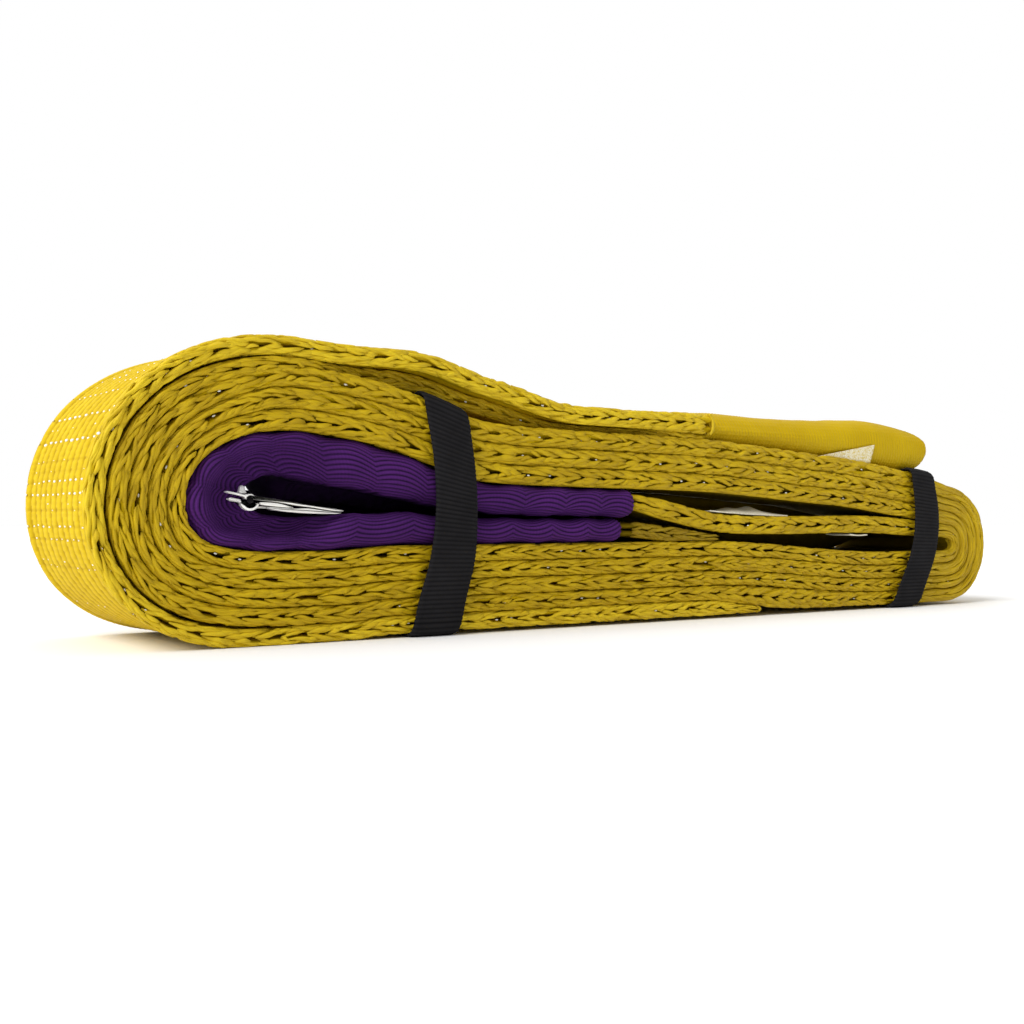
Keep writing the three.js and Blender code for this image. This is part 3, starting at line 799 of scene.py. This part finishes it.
def build_sleeve():
    """A ribbed tube round the eye's two legs and its nose, flattened and open at both ends."""
    keep = (core[:, 0] < SLEEVE_UPPER_X) & ((core_out[:, 1] > 0) | (core[:, 0] < SLEEVE_LOWER_X))
    outside = Line(columns(core[keep] - core_out[keep] * GAP / 2), soften=2.0)
    s = np.linspace(0, outside.length, int(outside.length / 0.8) + 1)
    o = outside.at(s, 0 * s, 0 * s)[:, [0, 2]]
    normal = np.column_stack([np.interp(s, outside.s, outside.out[:, i]) for i in range(2)])
    pairs = np.array(SLEEVE_PAIRS)
    pair_s = [s[np.argmin(np.hypot(*(o - out).T))] for out in pairs[:, :2]]
    pair_s[0], pair_s[-1] = 0.0, outside.length
    near_in = np.column_stack([
        through(np.column_stack([pair_s, pairs[:, i]]), s) for i in (2, 3)
    ])
    far_in = o - normal * SLEEVE_THICK
    nose = smoothstep(-o[:, 0], 160, 195)
    near_in[:, 0] += 4.2 * nose
    # Inside, the two legs sag towards each other, one behind the other.
    upper = normal[:, 1] > 0
    sag_share = smoothstep(-o[:, 0], 20, 60) * (1 - smoothstep(-o[:, 0], 178, 196))
    lower_z = SLEEVE_THICK + bottom_height(o[:, 0])
    upper_z = top_height(o[:, 0]) - SLEEVE_THICK
    middle_z = np.where(o[:, 0] > -200, (lower_z + upper_z) / 2, 60)
    reach = (np.abs(far_in[:, 1] - middle_z) + 2) * sag_share
    shut = smoothstep(o[:, 0], -122, -106)
    gap_left = np.maximum(upper_z - lower_z, 0) / 2 + 0.4
    # Section: front edge, inside face, back edge, outside face; f runs from outside to inside.
    f_near = np.linspace(0, 1, 96)
    leg_y = -rounded_edge(f_near)
    nose_y = through([(0, -41), (0.08, -44.6), (0.2, -45.2), (0.32, -42), (0.45, -37.6),
                      (0.6, -35.6), (0.85, -34.8), (0.95, -33.6), (1.0, -30)], f_near)
    inside_t = np.linspace(0, 1, 40)[1:]
    far_f = 1 - inside_t
    outside_t = np.linspace(0, 1, 34)[1:-1]
    rows_f = np.concatenate([f_near, np.ones(len(inside_t)), far_f, np.zeros(len(outside_t))])
    count = len(rows_f)
    flat_y = SLEEVE_HALF - SLEEVE_ROUND
    y_far = rounded_edge(far_f)
    pts = np.zeros((len(s), count, 3))
    arc = np.zeros((len(s), count))
    for i in range(len(s)):
        y_near = lerp(leg_y, nose_y, nose[i])
        y_in = lerp(y_near[-1], flat_y, inside_t)
        y_out = lerp(flat_y, y_near[0], outside_t)
        y = np.concatenate([y_near, y_in, y_far, y_out])
        near = 1 - smoothstep(y, -30 + 12 * nose[i], 5)
        inner_point = lerp(far_in[i], near_in[i], near[:, None])
        centre = 0.0 if upper[i] else 28.0
        sag = reach[i] * np.exp(-(((y - centre) / 13.0)**4))
        sag = lerp(sag, gap_left[i] * (1 - near), shut[i])
        inner_point[:, 1] += np.where(upper[i], -sag, sag)
        xz = o[i] + (inner_point - o[i]) * rows_f[:, None]
        pts[i] = np.column_stack([xz[:, 0], y, xz[:, 1]])
        step = np.linalg.norm(np.diff(pts[i], axis=0), axis=1)
        arc[i] = np.r_[0, np.cumsum(step)]
    n = grid_normals(pts)
    n *= np.sign((n * (pts - pts.mean(axis=1, keepdims=True))).sum())
    S = s[:, None]
    sway = 3.0 * np.abs(np.sin(np.pi * (S / 23 + 0.3 * np.sin(S / 37))))**0.8
    sway += np.sin(S / 17 + 1.1 * np.sin(S / 29))
    ribs = np.abs(np.sin(np.pi * (arc + sway) / SLEEVE_RIB))**0.9
    ribs = ribs * (1 + 0.12 * np.sin(2 * np.pi * S / 1.7))
    pucker = 0.5 * np.sin(2 * np.pi * (S / 24 + 0.3 * np.sin(S / 37)) + arc * 0.12)
    height = 0.6 * (ribs - 1) + pucker * np.exp(-((pts[..., 1] + 46) / 14)**2)
    pts = pts + n * height[..., None]
    quads = [ring_quads(len(s), count)]
    # The tube's open ends: each lip turns in to a smaller ring a little way inside.
    extra = []
    base = len(s) * count
    for end, inward in ((0, 1), (-1, -1)):
        ring = pts[end]
        c = np.array([ring[:, 0].mean(), 0, ring[:, 2].mean()])
        along = unit(pts[end + 4 * inward].mean(0) - ring.mean(0))
        mid = ring + (c - ring) * np.array([0.3, 0.05, 0.3]) - along * 0.5
        deep = ring + (c - ring) * np.array([0.42, 0.07, 0.42]) + along * 9
        extra += [mid, deep]
        start = 0 if end == 0 else (len(s) - 1) * count
        k = np.arange(count)
        k2 = (k + 1) % count
        first, second = base, base + count
        lip = np.column_stack([start + k2, start + k, first + k, first + k2])
        bore = np.column_stack([first + k2, first + k, second + k, second + k2])
        if end == -1:
            lip, bore = lip[:, ::-1], bore[:, ::-1]
        quads += [lip, bore]
        cap = strip_caps(count, second)
        quads.append(cap if end == 0 else cap[:, ::-1])
        base += 2 * count
    points = np.concatenate([pts.reshape(-1, 3), *extra])
    # Painted shade: the colour darkens into the rib grooves, across the inside face towards its
    # back, and fully on the turned-in lips and bores of the open ends.
    inside = np.zeros(count)
    inside[len(f_near):-len(outside_t)] = 1
    tone = np.clip(ribs, 0, 1) * (1 - 0.85 * inside * smoothstep(pts[..., 1], -40, -20))
    shade = np.concatenate([tone.ravel(), np.zeros(len(points) - ribs.size)])
    piece = new_piece(
        "sleeve", points, np.vstack(quads), purple, shade=shade
    )
    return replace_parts(piece, "wear_sleeve")


sleeve = build_sleeve()

# ---- elastic bands
BAND_SIDE = 47.3  # from the middle of the web to a band's inner face
BAND_RIB = 1.95
EDGE_RISE = 4.5  # of the top turns' edges over their middle
# How a band comes down off the turns' raised edges: distance in from its outer side, and
# how much of the rise is left there.
OVER_EDGE = ((8, 0.85), (14, 0.3), (26, 0))


def band(name, body, nodes, left_edge, right_edge):
    """A cross-ribbed elastic ring round the roll, its two edges given as (z, x) in front."""
    middle = (left_edge[-1][1] + right_edge[-1][1]) / 2
    top = float(top_height(middle, 3)) + GAP / 2 + BAND_THICK / 2
    rise = EDGE_RISE * float(fan(middle))
    edge_top = top + rise
    y_in = BAND_SIDE + BAND_THICK / 2
    corner = 5.0
    low = BAND_THICK / 2

    def bend(y, z, start):
        """A quarter turn round the roll's edge, clockwise from the start angle."""
        a = np.linspace(start, start - math.pi / 2, 9)
        return list(zip(y + corner * np.cos(a), z + corner * np.sin(a)))

    line = [(-y_in, z) for z in np.linspace(corner + 1, edge_top - corner, 60)]
    line += bend(-y_in + corner, edge_top - corner, math.pi)
    line += [(-y_in + inset, top + part * rise) for inset, part in OVER_EDGE]
    line += [(y_in - inset, top + part * rise) for inset, part in reversed(OVER_EDGE)]
    line += bend(y_in - corner, edge_top - corner, math.pi / 2)
    line += [(y_in, z) for z in np.linspace(edge_top - corner, corner + 1, 40)[1:]]
    line += bend(y_in - corner, corner + low, 0)
    line += [(20, low), (-20, low)]
    line += bend(-y_in + corner, corner + low, -math.pi / 2)
    line = np.array(line)
    line = line[np.r_[True, np.hypot(*np.diff(line, axis=0).T) > 1e-3]]
    loop_line = np.vstack([line, line[:1]])
    t = np.r_[0, np.cumsum(np.hypot(*np.diff(loop_line, axis=0).T))]
    count = int(t[-1] / 0.28)
    tt = np.linspace(0, t[-1], count, endpoint=False)
    yz = np.column_stack([np.interp(tt, t, loop_line[:, i]) for i in range(2)])
    for _ in range(6):
        yz = (np.roll(yz, 1, 0) + 2 * yz + np.roll(yz, -1, 0)) / 4
    out = loop_normals(yz)
    out *= np.sign((out * (yz - yz.mean(0))).sum())
    rib = np.abs(np.sin(np.pi * tt / BAND_RIB))**0.7
    front = smoothstep(-yz[:, 0], -10, 40)
    left = through(left_edge, yz[:, 1])
    right = through(right_edge, yz[:, 1])
    left = lerp(middle - BAND_WIDTH / 2, left, front)
    right = lerp(middle + BAND_WIDTH / 2, right, front)
    across = np.linspace(0, 1, 15)
    rim = np.clip(np.minimum(across, 1 - across) / 0.06, 0.25, 1)**0.5
    saw = 0.28 * (rib - 0.5)
    X = lerp((left - saw)[:, None], (right + saw)[:, None], across[None, :])
    tuck = 0.35 * (1 - (2 * across - 1)**2)[None, :] * front[:, None]
    half = (BAND_THICK / 2) * rim[None, :] * (0.78 + 0.3 * rib[:, None])
    outer = yz[:, None, :] + out[:, None, :] * (half + tuck)[..., None]
    inner = yz[:, None, :] - out[:, None, :] * (BAND_THICK / 2 * 0.8 * rim[None, :, None])
    slope = top_height(X, 3) - top_height(middle, 3)
    lift = smoothstep(outer[..., 1], 20, top)
    ring_pts = np.concatenate([
        np.stack([X, face[..., 0], face[..., 1] + slope * lift], -1)[:, ::way]
        for face, way in ((outer, 1), (inner, -1))
    ], axis=1)
    n = ring_pts.shape[1]
    quads = ring_quads(count + 1, n) % (count * n)
    # Painted shade: the colour darkens into the grooves between the ribs.
    shade = np.repeat(rib[:, None], n, 1)
    piece = new_piece(name, ring_pts, quads, black, body=body, shade=shade)
    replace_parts(piece, *nodes)
    return piece


left_elastic = band(
    "left_elastic", "left_band", ["left_band"],
    [(0, -132.5), (15, -129), (32, -123.5), (52, -120.5), (75, -121.5), (95, -125.5),
     (101, -126.5)],
    [(0, -109), (15, -105.5), (32, -101), (52, -99.5), (75, -100.5), (95, -103.5),
     (101, -104.5)],
)
right_elastic = band(
    "right_elastic", "right_band", ["right_band"],
    [(0, 179), (12, 185.5), (26, 193.5), (40, 198.5), (55, 199.5), (73, 197)],
    [(0, 202), (12, 208), (26, 215.5), (40, 219.5), (55, 220), (73, 216)],
)

# ---- folded outer eye
def build_eye():
    """The web folded lengthwise, its fold in front: a cover ply and a lining ply."""
    x = np.linspace(EYE_X0, EYE_X1, 420)
    radius = EYE_HEIGHT / 2
    centre_y = EYE_Y0 + radius
    flat_y = np.linspace(EYE_Y1, centre_y, 30)

    def section(inset):
        """One face of a ply, so far in from the outside: (y, height) round the fold."""
        r = radius - inset
        a = np.linspace(-math.pi / 2, -3 * math.pi / 2, 60)[1:-1]
        low = [(y, inset) for y in flat_y]
        bend = [(centre_y + r * math.cos(q), radius + r * math.sin(q)) for q in a]
        high = [(y, EYE_HEIGHT - inset) for y in flat_y[::-1]]
        return np.array(low + bend + high)

    def shape(inset, name, node):
        outer, inner = section(inset), section(inset + EYE_PLY)
        ring = np.vstack([outer, inner[::-1]])
        X, Y = np.meshgrid(x, ring[:, 0], indexing="ij")
        height = np.repeat(ring[None, :, 1], len(x), 0)
        share = np.clip((height - WEB_THICK) / (EYE_HEIGHT - 2 * WEB_THICK), 0, 1)
        end_x = through(
            [(0, 203), (0.08, 206.5), (0.2, 212.5), (0.4, 219), (0.6, 222), (0.77, 221.5),
             (0.87, 219), (0.95, 215), (1, 209)], height / EYE_HEIGHT,
        )
        past = np.maximum(X - EYE_LOOP_X, 0)
        X = np.minimum(X, EYE_LOOP_X) + past * (end_x - EYE_LOOP_X) / (EYE_X1 - EYE_LOOP_X)
        over_band = (BAND_THICK + GAP) * smoothstep(X, 165, 190)
        base = top_height(X, 3) + GAP / 2 + over_band
        crest = through(
            [(44, 104.8), (60, 105), (88, 104.2), (120, 104.3), (140, 104.8), (160, 105.9),
             (175, 106.1), (188, 105.1), (203, 103.2), (213, 101.8), (226, 101)], X,
        )
        z = base + height + (crest - base - EYE_HEIGHT) * share
        turn_in = smoothstep(X, end_x - 5, end_x)**2
        Y = Y + 3.5 * turn_in * (1 - smoothstep(Y, EYE_Y0, -5))
        # Weft rows across the web, and a slow swell where it is pressed.
        if inset == 0:
            rows = 0.16 * np.sin(2 * np.pi * X / 2.2) + 0.12 * np.sin(2 * np.pi * X / 23 + z / 6)
            rows = rows + 0.10 * np.sin(2 * np.pi * z / 1.9)
            facing = np.concatenate([np.ones(len(outer)), np.zeros(len(inner))])[None, :]
            Y = Y - rows * facing * (Y < centre_y)
            z = z + rows * facing * (Y >= centre_y) * np.where(share > 0.5, 1, -1)
        piece = new_piece(
            name, np.stack([X, Y, z], -1), closed_tube(len(x), len(ring)), yellow_eye,
            body=None,
        )
        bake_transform(piece)
        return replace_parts(piece, node)

    cover = shape(0, "eye_cover", "outer_eye_cover_ply")
    lining = shape(EYE_PLY + GAP, "eye_lining", "outer_eye_lining_ply")
    return cover, lining


eye_cover, eye_lining = build_eye()

# ---- labels
def patch(name, grid, thick, material, body):
    """A thin closed sheet on a grid of points, thickened along its normals."""
    n = grid_normals(grid)
    rows, cols = grid.shape[:2]
    top, bottom = grid + n * thick / 2, grid - n * thick / 2
    ring = np.concatenate([top, bottom[:, ::-1]], axis=1)
    return new_piece(name, ring, closed_tube(rows, 2 * cols), material, body=body)


def unit_grid(rows, cols):
    return np.meshgrid(np.linspace(0, 1, rows), np.linspace(0, 1, cols), indexing="ij")


def leg_label_grid():
    """The label lies along the front of the leg, its back edge curled up."""
    T, V = unit_grid(60, 30)
    X = lerp(44, 100, T) + 4 * V
    lie = through([(40, 54.6), (54, 53.6), (75, 52.5), (100, 51.8)], X)
    curl = through([(0, 0), (0.2, 1.4), (0.5, 3.8), (0.8, 2.2), (1, 0.3)], T)
    curl = curl * (1 + 0.18 * np.sin(X / 3.1))
    return np.stack([X, lerp(-43.5, -32, V), lie + curl * V**0.8], -1)


def tail_label_grid():
    T, V = unit_grid(20, 16)
    X = through([(0, 149), (0.5, 155.5), (1, 163)], T)
    Z = through([(0, 41.6), (0.5, 41.0), (1, 41.3)], T)
    return np.stack([X, lerp(-44, -26, V), Z], -1)


def eye_label_grid():
    """A three-cornered flap that hangs beside the folded eye."""
    T, V = unit_grid(44, 14)
    X = lerp(lerp(124, 167.5, T), lerp(124, 171.5, T), V)
    Z = lerp(lerp(83.2, 81.4, T), lerp(84.0, 91.8, T), V)
    Y = EYE_Y0 - 0.9 + 0.03 * (T - 0.5) + 0.06 * np.sin(X * 4.1) * np.sin(Z * 4.3)
    return np.stack([X, Y, Z], -1)


leg_label = patch("leg_tag", leg_label_grid(), 0.7, white, "roll")
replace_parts(leg_label, "leg_label")
tab = patch("tail_tag", tail_label_grid(), 0.7, white, "roll")
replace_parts(tab, "label_tail")
eye_tag = patch("eye_tag", eye_label_grid(), 0.6, speckled, "outer_eye")
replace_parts(eye_tag, "eye_label")

# ---- stitching
r = np.random.default_rng(5)
seam_s_all = splice.s[(splice.cols[:, 1] > CORE_TOP_Z) & (splice.cols[:, 0] > -33)
                      & (splice.cols[:, 0] < 34)]
rows_y = np.arange(-37.5, 38, 6.8)
seam_s, seam_y = [], []
for y in rows_y:
    s_row = np.arange(seam_s_all.min(), seam_s_all.max(), 5.0) + r.uniform(0, 1)
    seam_s += s_row.tolist()
    seam_y += (y + r.normal(0, 0.25, len(s_row))).tolist()
seam_s, seam_y = np.array(seam_s), np.array(seam_y)
centres = splice.at(seam_s, np.full(len(seam_s), 3.75), seam_y)
axes = bead_axes(splice, seam_s, 1.9, 0.5, 0.45)
seam = beads("seam_stitches", centres, axes, thread)
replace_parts(seam, "splice_seam")

# A zigzag of thread sews the ends of each band together.
TACK_STITCHES = 38
for name, body, node, x in (
    ("left_tack", "left_band", "left_band_bartack", -112.0),
    ("right_tack", "right_band", "right_band_bartack", 210.5),
):
    lo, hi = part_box(node)
    pts = np.zeros((TACK_STITCHES, 3))
    pts[:, 0] = np.linspace(x - 9.5, x + 9.5, TACK_STITCHES)
    pts[:, 1] = 500 * (lo.y + hi.y) + MIDDLE[1]
    pts[:, 2] = 500 * (lo.z + hi.z)
    tall = 500 * (hi.z - lo.z)
    axes = np.zeros((TACK_STITCHES, 3, 3))
    axes[:, 0] = (0.5, 0, tall)
    axes[1::2, 0] = (-0.5, 0, tall)
    axes[:, 1] = (0.32, 0, 0)
    axes[:, 2] = (0, 0.35, 0)
    tack = beads(name, pts, axes, black_thread)
    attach(tack, body)
    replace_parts(tack, node)

# ---- what is cloth here
edge_pieces["splice_outer"].append(picks[-1])
edge_pieces["splice_outer"].append(seam)
edge_pieces["splice_inner"] += [p for p in picks if p.name.startswith("splice_picks")]
edge_pieces["web_outer"] += [p for p in picks if p.name.startswith("web_picks")]

# ---- steel clip
RING_RADIUS, HOLE_RADIUS = 2.55, 1.75  # the upper jaw's ring round the pin


def clip_part(name, outline, near, far, body, edge=0.3):
    """A flat pressed part from its outline round the pin, with its front edges rounded.

    near and far are its depths behind the front of the clip.
    """
    near, far = CLIP_FRONT + near, CLIP_FRONT + far
    p = np.array(outline, float)
    fine = []
    for a, b in zip(p, np.roll(p, -1, axis=0)):
        fine += [a + (b - a) * k / 4 for k in range(4)]
    p = np.array(fine)
    for _ in range(3):
        p = (np.roll(p, 1, 0) + 4 * p + np.roll(p, -1, 0)) / 6
    inward = loop_normals(p)
    area = (p[:, 0] * np.roll(p[:, 1], -1) - np.roll(p[:, 0], -1) * p[:, 1]).sum()
    inward *= np.sign(area)
    n = len(p)
    rings = []
    for depth, inset in ((0, 0.9), (0.25, 0.35), (0.8, 0.0)):
        rings.append(np.insert(p + inward * edge * inset, 1, near + depth * edge, axis=1))
    for depth, inset in ((0.8, 0.0), (0.0, 0.5)):
        rings.append(np.insert(p + inward * edge * inset, 1, far - depth * edge, axis=1))
    points = np.concatenate(rings) + [CLIP_X, 0, CLIP_Z]
    quads = ring_quads(len(rings), n)
    obj = new_piece(name, points, quads, bright, body=body)
    fill = bmesh.new()
    fill.from_mesh(obj.data)
    bmesh.ops.holes_fill(fill, edges=[e for e in fill.edges if e.is_boundary], sides=0)
    bmesh.ops.triangulate(fill, faces=[f for f in fill.faces if len(f.verts) > 4])
    bmesh.ops.recalc_face_normals(fill, faces=fill.faces)
    fill.to_mesh(obj.data)
    fill.free()
    return obj


def arc_points(radius, from_deg, to_deg, n):
    a = np.radians(np.linspace(from_deg, to_deg, n))
    return [(radius * math.cos(q), radius * math.sin(q)) for q in a]


upper_jaw = clip_part(
    "upper_jaw",
    [(2.0, 1.7), (12.7, 0.3), (19.4, -1.0), (29.2, -2.2), (41.8, -3.8), (40.5, -4.4),
     (34, -3.8), (27.4, -2.7), (19.4, -1.9), (13.4, -0.75), (2.6, 0.25)]
    + arc_points(HOLE_RADIUS, 8, 172, 12)
    + [(-2.3, 1.35), (-4.6, 1.9), (-10, 3.0), (-10, 3.75), (-4.6, 2.7), (-2.4, 2.15)]
    + arc_points(RING_RADIUS, 118, 62, 8),
    0, 3.3, "clip_jaw",
)
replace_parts(upper_jaw, "clip_upper_jaw")
hook = clip_part(
    "lower_jaw_hook",
    arc_points(4.2, 190, 338, 16) + arc_points(2.95, 338, 194, 16)
    + [(-4.4, -0.6), (-8.8, 0.2), (-8.8, 0.85), (-4.6, 0.2), (-4.2, -0.2)],
    0.2, 3.0, "roll",
)
blade = clip_part(
    "lower_jaw_blade",
    [(6.9, -3.1), (8.6, -2.6), (18.4, -3.3), (25.2, -3.0), (33.6, -4.2), (41, -4.8),
     (38.4, -5.4), (25.6, -5.2), (14.8, -4.5)],
    0.2, 3.0, "roll",
)
bridge = clip_part(
    "lower_jaw_bridge",
    [(1.2, -4.0), (3.4, -1.9), (20, -3.5), (27, -3.9), (14.8, -4.3), (6, -3.3)],
    3.2, 6.4, "roll",
)
for part in (hook, blade, bridge):
    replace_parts(part, "clip_lower_jaw")
leaf = clip_part(
    "leaf_spring",
    [(4.2, -0.7), (7.8, -0.75), (12.7, -1.2), (19.4, -3.0), (16.2, -2.85), (7.1, -2.1),
     (4.6, -1.7)],
    0.1, 2.8, "roll",
)
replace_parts(leaf, "clip_leaf_spring")


def turned(name, profile, centre, axis, material):
    """A small turned part from (along, radius) pairs along an axis through centre."""
    along, radius = np.array(profile, float).T
    around = 20
    q = np.linspace(0, 2 * np.pi, around, endpoint=False)
    ring = np.stack([np.cos(q), np.sin(q)], -1)
    points = np.insert(radius[:, None, None] * ring, axis, along[:, None], axis=2) + centre
    return new_piece(
        name, points, closed_tube(len(along), around), material
    )


pin = turned(
    "pin", [(0, 0.2), (0.05, 0.9), (0.3, 1.4), (0.7, 1.6), (7.2, 1.6), (7.5, 1.2), (7.6, 0.2)],
    (CLIP_X, CLIP_FRONT - 0.25, CLIP_Z), 1, dark_steel,
)
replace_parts(pin, "clip_pin")
knob = turned(
    "knob", [(0, 0.3), (0, 1.9), (0.5, 2.0), (1.3, 1.5), (2.2, 1.35), (2.9, 1.0), (3.3, 0.4),
             (3.35, 0.1)],
    (CLIP_X - 1.6, CLIP_FRONT + 5.2, CLIP_Z + 2.7), 2, bright,
)
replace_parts(knob, "clip_knob")

# ---- floor, light, camera
bpy.ops.mesh.primitive_plane_add(size=12, location=(0, 0, -0.0002))
floor = bpy.context.object
floor.name = "floor"
pale, _, _, pale_shader = new_material("pale_floor")
pale_shader["Base Color"].default_value = (0.96, 0.96, 0.96, 1)
pale_shader["Roughness"].default_value = 0.9
floor.data.materials.append(pale)
floor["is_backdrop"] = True

world = bpy.data.worlds.new("studio")
scene.world = world
world.use_nodes = True
sky, wires = world.node_tree.nodes, world.node_tree.links
split = add(sky, "SeparateXYZ")
wires.new(add(sky, "TexCoord").outputs["Generated"], split.inputs["Vector"])
ramp = add(sky, "MapRange", From_Min=-0.7, From_Max=0.45, To_Min=0.4, To_Max=1.0)
ramp.interpolation_type = "SMOOTHSTEP"
wires.new(split.outputs["Y"], ramp.inputs["Value"])
wires.new(ramp.outputs["Result"], sky["Background"].inputs["Strength"])
sky["Background"].inputs["Color"].default_value = (1, 1, 1, 1)

sun_data = bpy.data.lights.new("key", "SUN")
sun_data.energy = 2.7
sun_data.angle = math.radians(40)
sun = bpy.data.objects.new("key", sun_data)
sun.rotation_euler = Vector((0.74, 0.12, -0.66)).to_track_quat("-Z", "Y").to_euler()
scene.collection.objects.link(sun)

camera_data = bpy.data.cameras.new("camera")
camera_data.lens = 45.07
camera_data.sensor_width = 36
camera_data.shift_y = 0.00488
camera_data.clip_start = 0.02
camera_data.clip_end = 50
camera = bpy.data.objects.new("camera", camera_data)
scene.collection.objects.link(camera)
camera.location = (np.array([-407, -519, 51.2]) - MIDDLE) / 1000
yaw = math.radians(34.7)
ahead = Vector((math.sin(yaw), math.cos(yaw), 0))
camera.rotation_euler = ahead.to_track_quat("-Z", "Y").to_euler()
scene.camera = camera

scene.view_settings.view_transform = "Standard"
scene.view_settings.look = "None"

lo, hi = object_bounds()
print("SEEN", [round(v * 1000, 1) for v in (*lo, *hi)])
